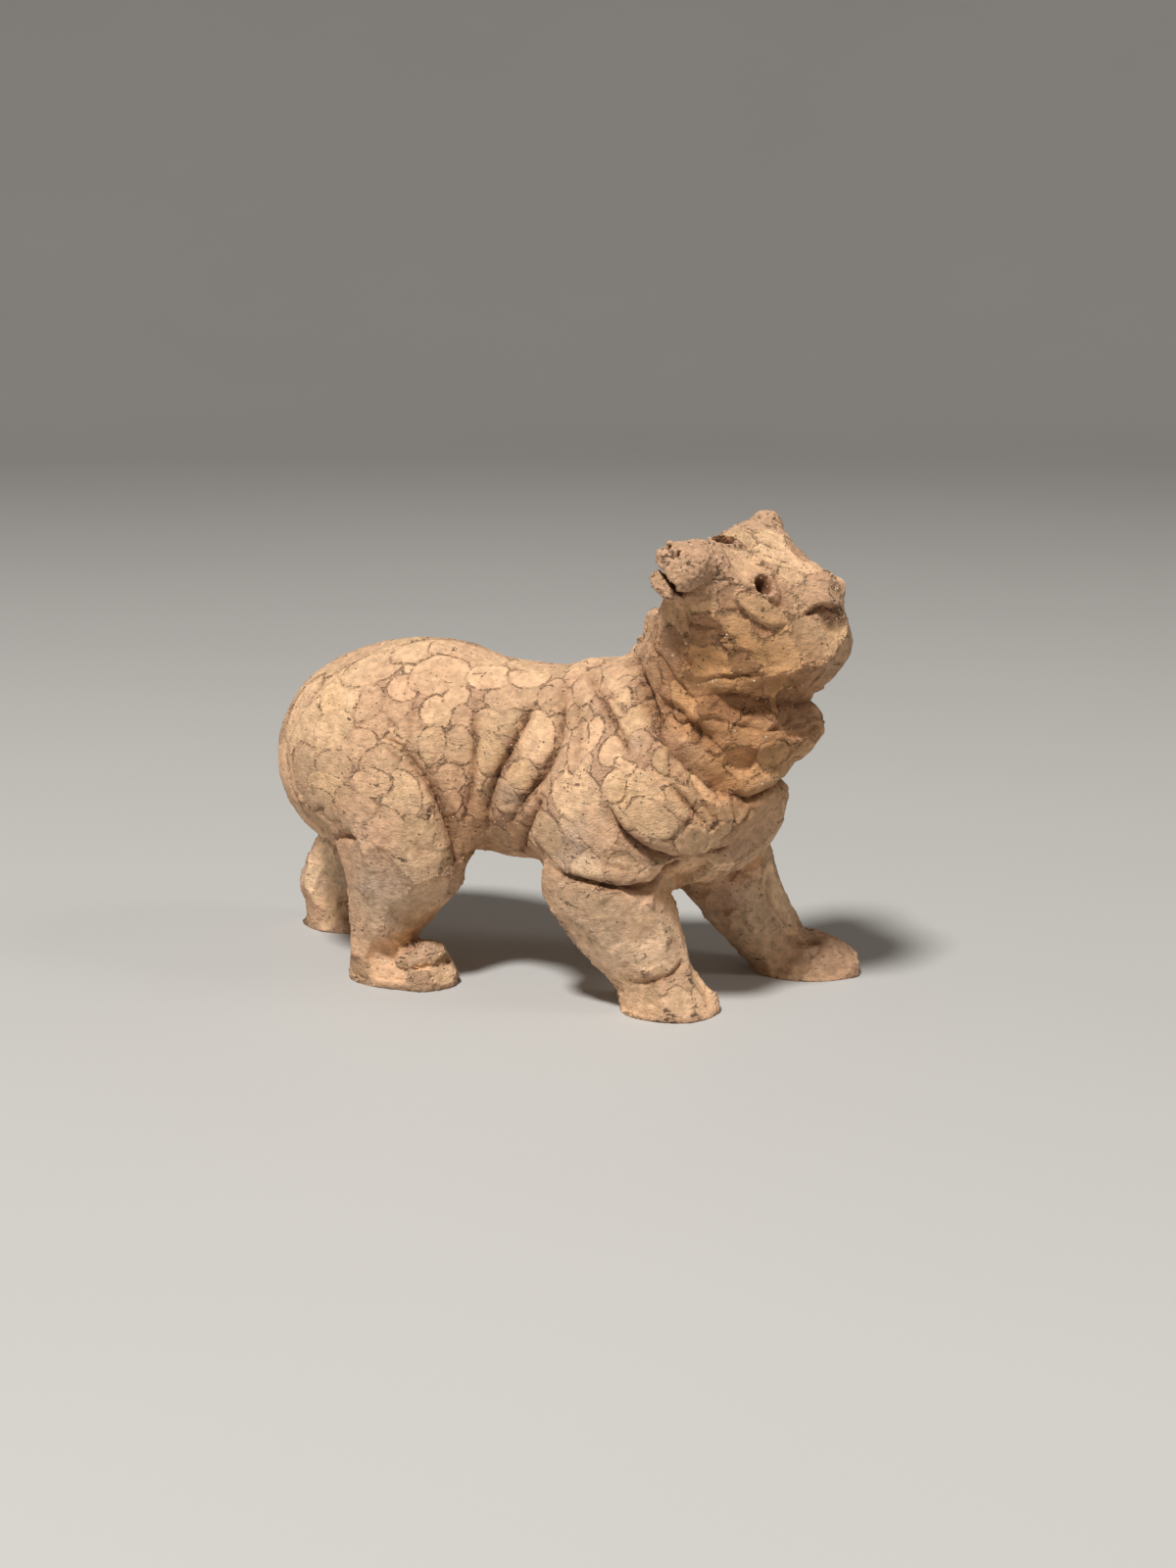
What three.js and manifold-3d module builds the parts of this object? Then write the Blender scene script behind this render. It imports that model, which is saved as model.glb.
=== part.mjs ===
// A small bear in unglazed terracotta, modelled solid by hand. It walks to +X with the far feet leading
// and looks up and back over its right shoulder. The clay is pared with a knife into flat patches, and
// deep folds part the thigh, the flank, the shoulder and the neck. Millimetres, +Z up, +Y the bear's left,
// origin under the middle of the figure at the level it stands on.
import * as THREE from "three";
import { mergeVertices } from "three/addons/utils/BufferGeometryUtils.js";
import Module from "manifold-3d";

const wasm = await Module();
wasm.setup();

// Driving dimensions.
const HEIGHT = 134; // soles to the tip of the higher ear
const EYE_WIDTH = 5.4; // hollow eye sockets, across
const EYE_DEPTH = 4.2;
const NOSTRIL_WIDTH = 1.9;
const NOSTRIL_DEPTH = 2.2;
const MOUTH_GAPE = 1.3; // height of the slit between muzzle and lower jaw
const MOUTH_DEPTH = 6.5; // how far the slit runs back from the nose
const MOUTH_WIDTH = 11.8;

// The sculpture is laid out in figure units, 134 of them from the soles to the higher ear's tip,
// so its pose and its carving keep their shares of the height.
const UNITS_TALL = 134;
const UNIT = HEIGHT / UNITS_TALL;
const SOLE_LEVEL = -2.5; // figure units, where the paws are cut flat
const CELL = 1.5; // spacing of the sampling lattice
const COARSE = 4; // cells along a block that takes one sample, away from the surface
const REGION = { low: [-102, -46, -16], high: [90, 54, 142] };
const TRIANGLES = 9000;

// Knife facets: flat patches at the points of a jittered lattice.
const FACET_PITCH = 9.5;
const FACET_CATCH = 0.42 * FACET_PITCH; // lattice points this close to the surface each give a cut
const FACET_JITTER = 0.35; // how far a lattice point strays, of the pitch
const FACET_APART = 0.66 * FACET_PITCH; // least distance between two cuts
const FACET_RADIUS = 5.4; // where the fall of the surface round a cut is measured
const FACET_BITE = 0.25; // how much deeper than that fall the knife goes
const FACET_REACH = 7.5; // farthest that one cut spreads from its middle
const FACET_RUNOUT = 0.6; // slope at which a cut rises again at that reach
const FACET_TILT = 0.3; // how far one cut may lean from the surface
const FACET_DEEPEST = 1.8;
const HOLLOWEST_PARED = -0.15; // where the surface is more hollow than this, nothing is pared
const SHARPEST_PARED = 1.5; // where the surface falls away more than this, the knife leaves it round
const WAVER = 0.55; // uneven hand modelling, outward and inward

// Folds: grooves whose cross-section is a bell curve.
const FOLD_STEP = 2; // spacing of the points along a fold
const FOLD_SPREAD = 4; // how many widths from its line a fold fades out
const FOLD_DROP = 5; // how far above or below its line a fold still cuts
const FOLD_NORMAL_SPAN = 6; // the surface direction along a fold is taken over this distance
const FOLD_RUN_IN = 0.2; // share of its length over which a fold deepens from either end
const FOLD_SHALLOWEST = 0.15; // depth at the very ends, of the full depth
const CARVED_WITHIN = 6; // farther from the surface than this, nothing is carved

const degrees = Math.PI / 180;
const add = (a, b) => [a[0] + b[0], a[1] + b[1], a[2] + b[2]];
const sub = (a, b) => [a[0] - b[0], a[1] - b[1], a[2] - b[2]];
const scaled = (a, s) => [a[0] * s, a[1] * s, a[2] * s];
const dot = (a, b) => a[0] * b[0] + a[1] * b[1] + a[2] * b[2];
const cross = (a, b) => [
  a[1] * b[2] - a[2] * b[1],
  a[2] * b[0] - a[0] * b[2],
  a[0] * b[1] - a[1] * b[0],
];
const unitOf = (a) => scaled(a, 1 / Math.max(Math.hypot(...a), 1e-12));
const clamp = (v, low, high) => Math.min(Math.max(v, low), high);

// Forward, left and up of something turned by yaw, pitch (nose up) and roll (left side up), in degrees.
function turned(yaw = 0, pitch = 0, roll = 0) {
  const [y, p, r] = [yaw * degrees, pitch * degrees, roll * degrees];
  const forward = [Math.cos(p) * Math.cos(y), Math.cos(p) * Math.sin(y), Math.sin(p)];
  const level = [-Math.sin(y), Math.cos(y), 0];
  const upright = cross(forward, level);
  const up = add(scaled(upright, Math.cos(r)), scaled(level, Math.sin(r)));
  return [forward, cross(up, forward), up];
}

// Distance to an ellipsoid, first order.
function ball(centre, half, blend, axes = turned()) {
  const distance = (x, y, z) => {
    const q = [x - centre[0], y - centre[1], z - centre[2]];
    const [u, v, w] = [dot(q, axes[0]) / half[0], dot(q, axes[1]) / half[1], dot(q, axes[2]) / half[2]];
    const k0 = Math.sqrt(u * u + v * v + w * w);
    const k1 = Math.hypot(u / half[0], v / half[1], w / half[2]);
    return (k0 * (k0 - 1)) / Math.max(k1, 1e-9);
  };
  return { distance, blend };
}

// Distance to a tapering round limb. A breadth under 1 makes it narrower from side to side.
function limb(from, to, startRadius, endRadius, blend, breadth = 1) {
  const wide = ([x, y, z]) => [x, y / breadth, z];
  const [a, b] = [wide(from), wide(to)];
  const ab = sub(b, a);
  const length2 = dot(ab, ab);
  const distance = (x, y, z) => {
    const q = [x - a[0], y / breadth - a[1], z - a[2]];
    const t = clamp(dot(q, ab) / length2, 0, 1);
    const off = Math.hypot(q[0] - ab[0] * t, q[1] - ab[1] * t, q[2] - ab[2] * t);
    return off - (startRadius + (endRadius - startRadius) * t);
  };
  return { distance, blend };
}

// Distance to a block with rounded edges.
function block(centre, half, round, blend, axes) {
  const distance = (x, y, z) => {
    const q = [x - centre[0], y - centre[1], z - centre[2]];
    const out = axes.map((axis, i) => Math.abs(dot(q, axis)) - half[i] + round);
    const outside = Math.hypot(Math.max(out[0], 0), Math.max(out[1], 0), Math.max(out[2], 0));
    return outside + Math.min(Math.max(...out), 0) - round;
  };
  return { distance, blend };
}

// The head's own frame, looking up and back over the right shoulder.
const HEAD_CENTRE = [54, -6, 111];
const HEAD_YAW = -110;
const HEAD_PITCH = 27;
const HEAD_ROLL = 34;
const HEAD_AXES = turned(HEAD_YAW, HEAD_PITCH, HEAD_ROLL);
const onHead = (forward, left, up) =>
  [forward, left, up].reduce((point, amount, i) => add(point, scaled(HEAD_AXES[i], amount)), HEAD_CENTRE);
const headTurned = (yaw, pitch, roll) =>
  turned(yaw, pitch, roll).map((axis) => sub(onHead(...axis), HEAD_CENTRE));

const NOSE = [29.5, 0.6, -1.5]; // middle of the nose's flat end, on the head
const NOSTRILS = [[29.5, -4.4, -2.2], [29.5, 0.3, -1.4]];
const NOSTRIL_OUT = [1, 0, 0.15];
const MOUTH_LEVEL = -7.8; // height of the slit on the head
const EYES = [
  { at: [11, 12.2, 7.4], out: [0.41, 0.48, 0.77] },
  { at: [12.8, -7.8, 7], out: [0.5, -0.42, 0.76] },
];

const trunk = [
  ball([-57, 0, 58], [29, 31, 30], 1),
  ball([-84.5, 0, 57], [4, 4.5, 7], 3, turned(0, 20)), // stub of a tail
  ball([-37, 0, 62], [28, 26, 30], 12),
  ball([-8, 0, 59], [26, 24, 27.5], 12),
  ball([28, 0, 56], [36, 29, 29.5], 12),
  ball([17, 0, 74], [20, 19, 15.5], 8, turned(0, -10)), // withers
  ball([33, 1, 86], [13, 14, 13], 8, turned(0, -10)),
];
const rightForeleg = [
  ball([21, -18, 51], [25, 16, 21.5], 7),
  limb([20, -20, 32], [32, -17, 9], 17.5, 12, 3, 0.85),
  ball([37.5, -17, -1.5], [14, 12.5, 10], 3),
  ball([40, -19, 61], [19, 13, 11.5], 4, turned(-15, -48)), // lobe hanging over the elbow
];
const leftForeleg = [
  ball([28, 18, 50], [24, 15, 22], 7),
  limb([35, 22, 36], [50, 28, 9], 16, 10.5, 4),
  ball([62, 31, -1.5], [16, 12, 10.5], 3, turned(8)),
];
const rightHindLeg = [
  ball([-41, -19, 44], [20, 15, 29], 6),
  limb([-41, -20, 32], [-49, -21, 9], 17, 9.5, 4, 0.85),
  ball([-42, -21, -1], [15, 10, 8.5], 3),
  ball([-33, -21, 1], [8, 9.5, 9], 3), // turned-up toes
];
const leftHindLeg = [
  ball([-62, 19, 44], [20, 15, 28], 6),
  limb([-68, 20, 34], [-86, 22, 10], 15, 10.5, 4, 0.9),
  ball([-81, 23, -1.5], [16, 11.5, 10], 3),
];
const neck = [
  ball([46, -3, 86], [20, 19, 18], 5),
  ball([51.5, 0, 75], [22.5, 20, 13], 5),
  limb([52, -5, 72], [60, -9, 60], 14, 6, 4), // bib running down between the shoulders
  ball([56, -2.5, 98], [26.5, 21, 16.5], 6), // ruff
  ball([29, 3, 100], [6, 6, 6], 2),
  ball([27, 3, 93], [7, 7, 6], 2),
];
const head = [
  ball(onHead(-7, -1, 2), [15, 21.5, 16], 6, HEAD_AXES),
  ball(onHead(5, 1.5, -0.5), [18.5, 17, 11.5], 7, headTurned(0, -8, 0)), // face
  limb(onHead(10, 0, -13), [42, -8, 88], 9, 15, 6), // throat
  block(onHead(19.5, 0.4, -3.6), [10, 6.9, 3.9], 2.2, 3, headTurned(0, 0, 4)), // muzzle
  block(onHead(19.5, 2.4, -1.5), [10, 4.8, 5.8], 2.6, 4, headTurned(0, 0, 6)), // bridge of the nose
  block(onHead(17, 0.5, -10.3), [10.5, 5.5, 2.7], 2, 2, headTurned(0, -2, 0)), // lower jaw
  block(onHead(-7, 12.6, 13.6), [5.2, 5.6, 4.8], 2, 3, headTurned(0, 0, 45)), // right ear
  limb(onHead(-7, -12, 6), onHead(-8.1, -19.1, 15.6), 9, 3, 3), // left ear
];
const FORMS = [trunk, rightForeleg, leftForeleg, rightHindLeg, leftHindLeg, neck, head].flat();

// Folds pressed into the clay: points that the groove runs through, how deep it is and how wide.
const fold = (depth, width, ...points) => ({ depth, width, points });
const mirrored = ({ depth, width, points }, ahead = 0) =>
  fold(depth * 0.8, width, ...points.map(([x, y, z]) => [x + ahead, -y, z]));
const thighFront =
  fold(3.0, 2.5, [-41, -27, 73], [-33, -28, 67], [-28, -29, 57], [-24, -27, 46], [-23, -24, 37]);
const flankFolds = [
  fold(1.2, 1.8, [-19, -19, 77], [-17, -24, 62], [-20, -22, 45]),
  fold(2.0, 2.0, [-2, -17, 78], [-7, -23, 69], [-12, -24, 57], [-16, -19, 44]),
  fold(2.6, 2.1, [7, -23, 72], [4, -27, 63], [-2, -26, 55], [-8, -20, 44]),
  fold(0.9, 1.8, [4, -9, 86], [6, -18, 79], [7, -22, 73]),
  fold(1.0, 1.7, [-42, -29, 69], [-37, -30, 66], [-34, -29, 64]),
  fold(0.9, 1.7, [-37, -22, 80], [-35, -26, 72], [-33, -28, 66]),
];
const shoulderFolds = [
  fold(2.0, 2.1, [6, -29, 60], [2, -29, 51], [-2, -24, 38]),
  fold(1.8, 2.0, [12, -11, 87], [21, -21, 78], [29, -27, 71]),
  fold(3.2, 2.7, [22, -8, 92], [26, -13, 88], [33, -20, 78], [43, -25, 72], [52, -22, 63], [59, -16, 56]),
  fold(2.4, 2.1, [9, -34, 38], [21, -35, 37], [31, -30, 34], [37, -24, 35], [41, -22, 37]),
];
const rightOnlyFolds = [
  fold(1.6, 1.9, [35, -19, 83], [42, -20, 77], [49, -20, 72]),
  fold(2.8, 2.3, [59, -16, 56], [63, -10, 57], [66, 0, 60]),
  fold(3.0, 2.3, [22, -32, 62], [26, -34, 56], [31, -33, 50], [36, -31, 45], [43, -25, 43], [51, -22, 45]),
  fold(1.4, 1.8, [42, -31, 63], [48, -30, 58], [53, -25, 51]),
  fold(1.4, 2.1, [43, -22, 84], [56, -21, 86], [63, -17, 84], [68, -10, 82], [73, 0, 82]),
  fold(1.0, 1.8, [40, -31, 112], [44, -23, 103], [50, -25, 102]),
  fold(1.2, 1.8, [32, -14, 94], [41, -21, 88], [48, -22, 85]),
  fold(1.2, 1.8, [28, -27, 5], [35, -26, 8], [41, -24, 9], [43, -18, 11]),
];
const LEFT_THIGH_AHEAD = -21; // the left thigh stands this far behind the right one
const FOLDS = [
  thighFront,
  mirrored(thighFront, LEFT_THIGH_AHEAD),
  ...flankFolds,
  ...flankFolds.map((f) => mirrored(f, LEFT_THIGH_AHEAD / 2)),
  ...shoulderFolds,
  ...shoulderFolds.map((f) => mirrored(f, 4)),
  ...rightOnlyFolds,
];

// The muzzle, the ears and the paws are left as modelled, with no knife cuts.
const LEFT_ROUND = [
  { at: onHead(24, 0, -5), radius: 16 },
  { at: onHead(-8, 17, 14), radius: 11 },
  { at: onHead(-8, -18, 15), radius: 11 },
  ...[[37, -17, 2], [62, 31, 2], [-38, -22, 2], [-81, 23, 2]].map((at) => ({ at, radius: 12 })),
];

// Two distances joined with a fillet of about the given size.
function blended(a, b, size) {
  const h = Math.max(size - Math.abs(a - b), 0) / size;
  return Math.min(a, b) - (h * h * size) / 4;
}

// Signed distance to the smooth figure, uneven as a hand leaves it.
function figure(x, y, z) {
  let d = Infinity;
  for (const form of FORMS) {
    const next = form.distance(x, y, z);
    d = d === Infinity ? next : blended(d, next, form.blend);
  }
  const along = Math.sin(x / 5.3 + 1.3 * Math.sin(z / 9));
  const across = Math.sin(y / 4.7 + 0.9 * Math.sin(x / 8 + 1));
  const upward = Math.sin(z / 5.9 + 1.1 * Math.sin(y / 7 + 2));
  return d + WAVER * along * across * upward;
}

function normalAt(field, p, step = 0.4) {
  const slope = [0, 1, 2].map((i) => {
    const [ahead, behind] = [[...p], [...p]];
    ahead[i] += step;
    behind[i] -= step;
    return field(...ahead) - field(...behind);
  });
  return unitOf(slope);
}

// A point moved onto the surface along its normal.
function onSurface(field, start, rounds = 6) {
  let p = start;
  for (let i = 0; i < rounds; i++) p = sub(p, scaled(normalAt(field, p), field(...p)));
  return p;
}

// A repeatable number from 0 to 1 for a place.
function chance([x, y, z], key) {
  const wave = Math.abs(Math.sin(x * 12.9898 + y * 78.233 + z * 37.719 + key * 11.13) * 43758.5453);
  return wave - Math.floor(wave);
}

// The knife cuts: each is a plane through a point just under the surface, leaning a little.
function knifeCuts(field) {
  const places = [];
  const [low, high] = [REGION.low, REGION.high];
  for (const offset of [0, 0.5]) {
    for (let i = Math.ceil(low[0] / FACET_PITCH); i * FACET_PITCH < high[0]; i++)
      for (let j = Math.ceil(low[1] / FACET_PITCH); j * FACET_PITCH < high[1]; j++)
        for (let k = 0; k * FACET_PITCH < high[2]; k++) {
          const node = [i, j, k].map((v) => v + offset);
          const stray = [0, 1, 2].map((key) => (chance([i, j, k], key + offset) - 0.5) * FACET_JITTER);
          const place = scaled(add(node, stray), FACET_PITCH);
          place[2] += SOLE_LEVEL;
          if (Math.abs(field(...place)) < FACET_CATCH) places.push(onSurface(field, place));
        }
  }
  const kept = [];
  for (const p of places) {
    const clear = kept.every((other) => Math.hypot(...sub(p, other)) > FACET_APART);
    const spared = LEFT_ROUND.some(({ at, radius }) => Math.hypot(...sub(p, at)) < radius);
    if (p[2] > SOLE_LEVEL + 1 && clear && !spared) kept.push(p);
  }
  return kept.map((at) => knifeCut(field, at)).filter((cut) => cut.depth > 0);
}

// A cut goes as deep as the surface falls away a patch's radius off, so that neighbours meet in a ridge.
function knifeCut(field, at) {
  const normal = normalAt(field, at, 1.5);
  const side = unitOf(cross(normal, [0.3, 0.5, 0.81]));
  const other = cross(normal, side);
  let fall = 0;
  for (let turn = 0; turn < 8; turn++) {
    const angle = (turn * Math.PI) / 4;
    const spoke = add(scaled(side, Math.cos(angle)), scaled(other, Math.sin(angle)));
    fall += field(...add(at, scaled(spoke, FACET_RADIUS))) / 8;
  }
  const depth = fall < HOLLOWEST_PARED || fall > SHARPEST_PARED ? 0 : fall + FACET_BITE;
  const lean = [3, 4, 5].map((key) => (chance(at, key) - 0.5) * FACET_TILT);
  return { at, depth, normal: unitOf(add(normal, lean)) };
}

// A fold as a chain of evenly spaced points on the surface, shallow at both ends.
function foldChain(field, { depth, width, points }) {
  const steps = [points[0]];
  for (let i = 1; i < points.length; i++) {
    const leg = sub(points[i], points[i - 1]);
    const count = Math.max(1, Math.round(Math.hypot(...leg) / FOLD_STEP));
    for (let k = 1; k <= count; k++) steps.push(add(points[i - 1], scaled(leg, k / count)));
  }
  const last = steps.length - 1;
  const easedOnce = (list) =>
    list.map((p, i) => {
      const beside = add(list[Math.max(i - 1, 0)], list[Math.min(i + 1, last)]);
      return scaled(add(beside, scaled(p, 2)), 0.25);
    });
  const eased = (list) => easedOnce(easedOnce(easedOnce(easedOnce(list))));
  const chain = eased(steps.map((p) => onSurface(field, p)));
  const normals = eased(chain.map((p) => normalAt(field, p, FOLD_NORMAL_SPAN))).map(unitOf);
  const runIn = (i) => clamp(Math.min(i, last - i) / last / FOLD_RUN_IN, FOLD_SHALLOWEST, 1);
  const middle = scaled(chain.reduce(add), 1 / chain.length);
  const span = Math.max(...chain.map((p) => Math.hypot(...sub(p, middle))));
  return {
    width,
    chain,
    normals,
    depths: chain.map((_, i) => depth * runIn(i)),
    middle,
    reach: span + FOLD_SPREAD * width,
  };
}

// How deep the folds cut at a place.
function foldDepth(chains, p) {
  let total = 0;
  for (const { chain, normals, depths, width, middle, reach } of chains) {
    if (Math.hypot(...sub(p, middle)) > reach) continue;
    let nearest = Infinity;
    let depth = 0;
    for (let i = 0; i + 1 < chain.length; i++) {
      const leg = sub(chain[i + 1], chain[i]);
      const t = clamp(dot(sub(p, chain[i]), leg) / dot(leg, leg), 0, 1);
      const off = sub(p, add(chain[i], scaled(leg, t)));
      const height = dot(off, unitOf(add(scaled(normals[i], 1 - t), scaled(normals[i + 1], t))));
      const aside = Math.sqrt(Math.max(dot(off, off) - height * height, 0));
      if (aside < nearest) {
        nearest = aside;
        const here = depths[i] + (depths[i + 1] - depths[i]) * t;
        depth = here * Math.exp(-((height / FOLD_DROP) ** 4));
      }
    }
    const across = nearest / width;
    if (across < FOLD_SPREAD) total += depth * Math.exp(-across * across);
  }
  return total;
}

// The figure with its knife cuts and folds.
const cuts = knifeCuts(figure);
const chains = FOLDS.map((f) => foldChain(figure, f));
const cutSpan = FACET_REACH + FACET_DEEPEST;
function carved(x, y, z) {
  const smooth = figure(x, y, z);
  if (Math.abs(smooth) > CARVED_WITHIN) return smooth;
  const p = [x, y, z];
  let pared = smooth;
  for (const { at, normal, depth } of cuts) {
    const off = sub(p, at);
    if (off.some((v) => Math.abs(v) > cutSpan)) continue;
    const above = dot(off, normal);
    const aside = Math.sqrt(Math.max(dot(off, off) - above * above, 0));
    const plane = Math.min(above + depth, (FACET_REACH - aside) * FACET_RUNOUT, smooth + FACET_DEEPEST);
    pared = Math.max(pared, plane);
  }
  return pared + foldDepth(chains, p);
}

// The surface where a field is zero, as triangles: each lattice cell is six tetrahedra that share its
// diagonal, and each tetrahedron that the surface crosses gives one or two triangles.
function surfaceOf(field) {
  const { low, high } = REGION;
  const size = low.map((v, i) => Math.ceil((high[i] - v) / CELL) + 1);
  const [nx, ny, nz] = size;
  const stride = [1, nx, nx * ny];
  const values = new Float64Array(nx * ny * nz);
  const spot = (id) => [id % nx, Math.floor(id / nx) % ny, Math.floor(id / (nx * ny))];
  const place = (id) => spot(id).map((v, i) => low[i] + v * CELL);
  // Away from the surface a block of cells takes the value at its middle.
  const blockReach = (Math.sqrt(3) / 2) * COARSE * CELL + CARVED_WITHIN;
  for (let k = 0; k < nz; k += COARSE)
    for (let j = 0; j < ny; j += COARSE)
      for (let i = 0; i < nx; i += COARSE) {
        const middle = [i, j, k].map((v, a) => low[a] + (v + COARSE / 2) * CELL);
        const there = figure(...middle);
        const far = Math.abs(there) > blockReach;
        for (let c = k; c < Math.min(k + COARSE, nz); c++)
          for (let b = j; b < Math.min(j + COARSE, ny); b++)
            for (let a = i; a < Math.min(i + COARSE, nx); a++) {
              const id = a + b * nx + c * nx * ny;
              values[id] = far ? there : field(...place(id));
            }
      }
  const corners = [];
  const made = new Map();
  const crossing = (inner, outer) => {
    const [first, second] = inner < outer ? [inner, outer] : [outer, inner];
    const key = first * values.length + second;
    if (!made.has(key)) {
      const t = clamp(values[first] / (values[first] - values[second]), 0.02, 0.98);
      const [a, b] = [place(first), place(second)];
      made.set(key, corners.length);
      corners.push(add(a, scaled(sub(b, a), t)));
    }
    return made.get(key);
  };
  const orders = [
    [0, 1, 2],
    [1, 2, 0],
    [2, 0, 1],
    [0, 2, 1],
    [2, 1, 0],
    [1, 0, 2],
  ];
  // For each set of corners inside: the edges crossed, in order round the patch, seen from outside.
  const alone = [
    [0, 1, 2, 3],
    [1, 0, 3, 2],
    [2, 0, 1, 3],
    [3, 0, 2, 1],
  ];
  const pairs = [
    [0, 1, 2, 3],
    [0, 2, 3, 1],
    [0, 3, 1, 2],
    [1, 2, 0, 3],
    [1, 3, 2, 0],
    [2, 3, 0, 1],
  ];
  const patches = new Map();
  for (const [a, b, c, d] of alone) {
    patches.set(1 << a, [[[a, b], [a, c], [a, d]]]);
    patches.set(15 - (1 << a), [[[a, b], [a, d], [a, c]]]);
  }
  for (const [a, b, c, d] of pairs) {
    const ring = [[a, c], [a, d], [b, d], [b, c]];
    patches.set((1 << a) + (1 << b), [[ring[0], ring[1], ring[2]], [ring[0], ring[2], ring[3]]]);
  }
  const triangles = [];
  const cell = [0, 1].flatMap((dz) => [0, 1].flatMap((dy) => [0, 1].map((dx) => dx + nx * (dy + ny * dz))));
  for (let k = 0; k + 1 < nz; k++)
    for (let j = 0; j + 1 < ny; j++)
      for (let i = 0; i + 1 < nx; i++) {
        const origin = i + j * nx + k * nx * ny;
        const end = origin + stride[0] + stride[1] + stride[2];
        if (cell.every((step) => values[origin + step] < 0 === values[origin] < 0)) continue;
        orders.forEach(([a, b], n) => {
          const mid = [origin + stride[a], origin + stride[a] + stride[b]];
          const tet = n < 3 ? [origin, ...mid, end] : [origin, mid[1], mid[0], end];
          const inside = tet.reduce((mask, id, bit) => mask + (values[id] < 0 ? 1 << bit : 0), 0);
          for (const patch of patches.get(inside) ?? [])
            triangles.push(patch.map(([from, to]) => crossing(tet[from], tet[to])));
        });
      }
  return { corners, triangles };
}

// Fewer triangles for the same shape: short edges on flat ground close up first. Each corner keeps the
// sum of its planes as a quadric, and an edge closes where that sum stays least.
function thinned({ corners, triangles }, target) {
  const around = corners.map(() => new Set());
  const alive = new Uint8Array(triangles.length).fill(1);
  triangles.forEach((t, n) => t.forEach((c) => around[c].add(n)));
  const quadrics = corners.map(() => new Float64Array(10));
  const addPlane = (q, [a, b, c], d, weight) =>
    [a * a, a * b, a * c, a * d, b * b, b * c, b * d, c * c, c * d, d * d].forEach((v, i) => {
      q[i] += v * weight;
    });
  const faceNormal = (t) => cross(sub(corners[t[1]], corners[t[0]]), sub(corners[t[2]], corners[t[0]]));
  for (const t of triangles) {
    const raw = faceNormal(t);
    const area = Math.hypot(...raw);
    const n = unitOf(raw);
    const middle = scaled(add(add(corners[t[0]], corners[t[1]]), corners[t[2]]), 1 / 3);
    for (const c of t) {
      addPlane(quadrics[c], n, -dot(n, middle), area);
      // A faint pull to where the corner was keeps flat ground evenly divided.
      const pull = [[1, 0, 0], [0, 1, 0], [0, 0, 1]];
      pull.forEach((axis, i) => addPlane(quadrics[c], axis, -corners[c][i], area * 2e-3));
    }
  }
  const cost = (q, [x, y, z]) =>
    q[0] * x * x + 2 * q[1] * x * y + 2 * q[2] * x * z + 2 * q[3] * x +
    q[4] * y * y + 2 * q[5] * y * z + 2 * q[6] * y + q[7] * z * z + 2 * q[8] * z + q[9];
  const best = (q) => {
    const rows = [[q[0], q[1], q[2]], [q[1], q[4], q[5]], [q[2], q[5], q[7]]];
    const right = [-q[3], -q[6], -q[8]];
    const det = dot(rows[0], cross(rows[1], rows[2]));
    return [
      dot(right, cross(rows[1], rows[2])) / det,
      dot(rows[0], cross(right, rows[2])) / det,
      dot(rows[0], cross(rows[1], right)) / det,
    ];
  };
  const stamp = new Uint32Array(corners.length);
  const heap = [];
  const swap = (a, b) => ([heap[a], heap[b]] = [heap[b], heap[a]]);
  const push = (item) => {
    heap.push(item);
    for (let n = heap.length - 1, up; n > 0; n = up) {
      up = (n - 1) >> 1;
      if (heap[up].cost <= heap[n].cost) break;
      swap(up, n);
    }
  };
  const pop = () => {
    swap(0, heap.length - 1);
    const item = heap.pop();
    for (let n = 0; ; ) {
      let least = 2 * n + 1;
      if (least + 1 < heap.length && heap[least + 1].cost < heap[least].cost) least++;
      if (least >= heap.length || heap[n].cost <= heap[least].cost) break;
      swap(least, n);
      n = least;
    }
    return item;
  };
  const offer = (a, b) => {
    const q = quadrics[a].map((v, i) => v + quadrics[b][i]);
    const p = best(q);
    push({ a, b, p, cost: cost(q, p), stamps: stamp[a] + stamp[b] });
  };
  const neighbours = (c) => new Set([...around[c]].flatMap((n) => triangles[n]).filter((o) => o !== c));
  triangles.forEach((t) => t.forEach((c, i) => c < t[(i + 1) % 3] && offer(c, t[(i + 1) % 3])));
  const folds = (c, other, p) =>
    [...around[c]].some((n) => {
      const t = triangles[n];
      if (t.includes(other)) return false;
      const moved = t.map((v) => (v === c ? p : corners[v]));
      const before = unitOf(faceNormal(t));
      const after = unitOf(cross(sub(moved[1], moved[0]), sub(moved[2], moved[0])));
      return dot(before, after) < 0.3;
    });
  let count = triangles.length;
  while (count > target && heap.length) {
    const { a, b, p, stamps } = pop();
    if (!around[a].size || !around[b].size || stamp[a] + stamp[b] !== stamps) continue;
    const besideB = neighbours(b);
    const shared = [...neighbours(a)].filter((c) => besideB.has(c));
    if (!besideB.has(a) || shared.length !== 2 || folds(a, b, p) || folds(b, a, p)) continue;
    for (const n of [...around[b]]) {
      const t = triangles[n];
      if (t.includes(a)) {
        alive[n] = 0;
        count--;
        t.forEach((c) => around[c].delete(n));
      } else {
        triangles[n] = t.map((c) => (c === b ? a : c));
        around[a].add(n);
      }
    }
    around[b].clear();
    corners[a] = p;
    quadrics[a] = quadrics[a].map((v, i) => v + quadrics[b][i]);
    const ring = neighbours(a);
    stamp[a]++;
    for (const c of ring) offer(Math.min(a, c), Math.max(a, c));
  }
  return { corners, triangles: triangles.filter((_, n) => alive[n]) };
}

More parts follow.
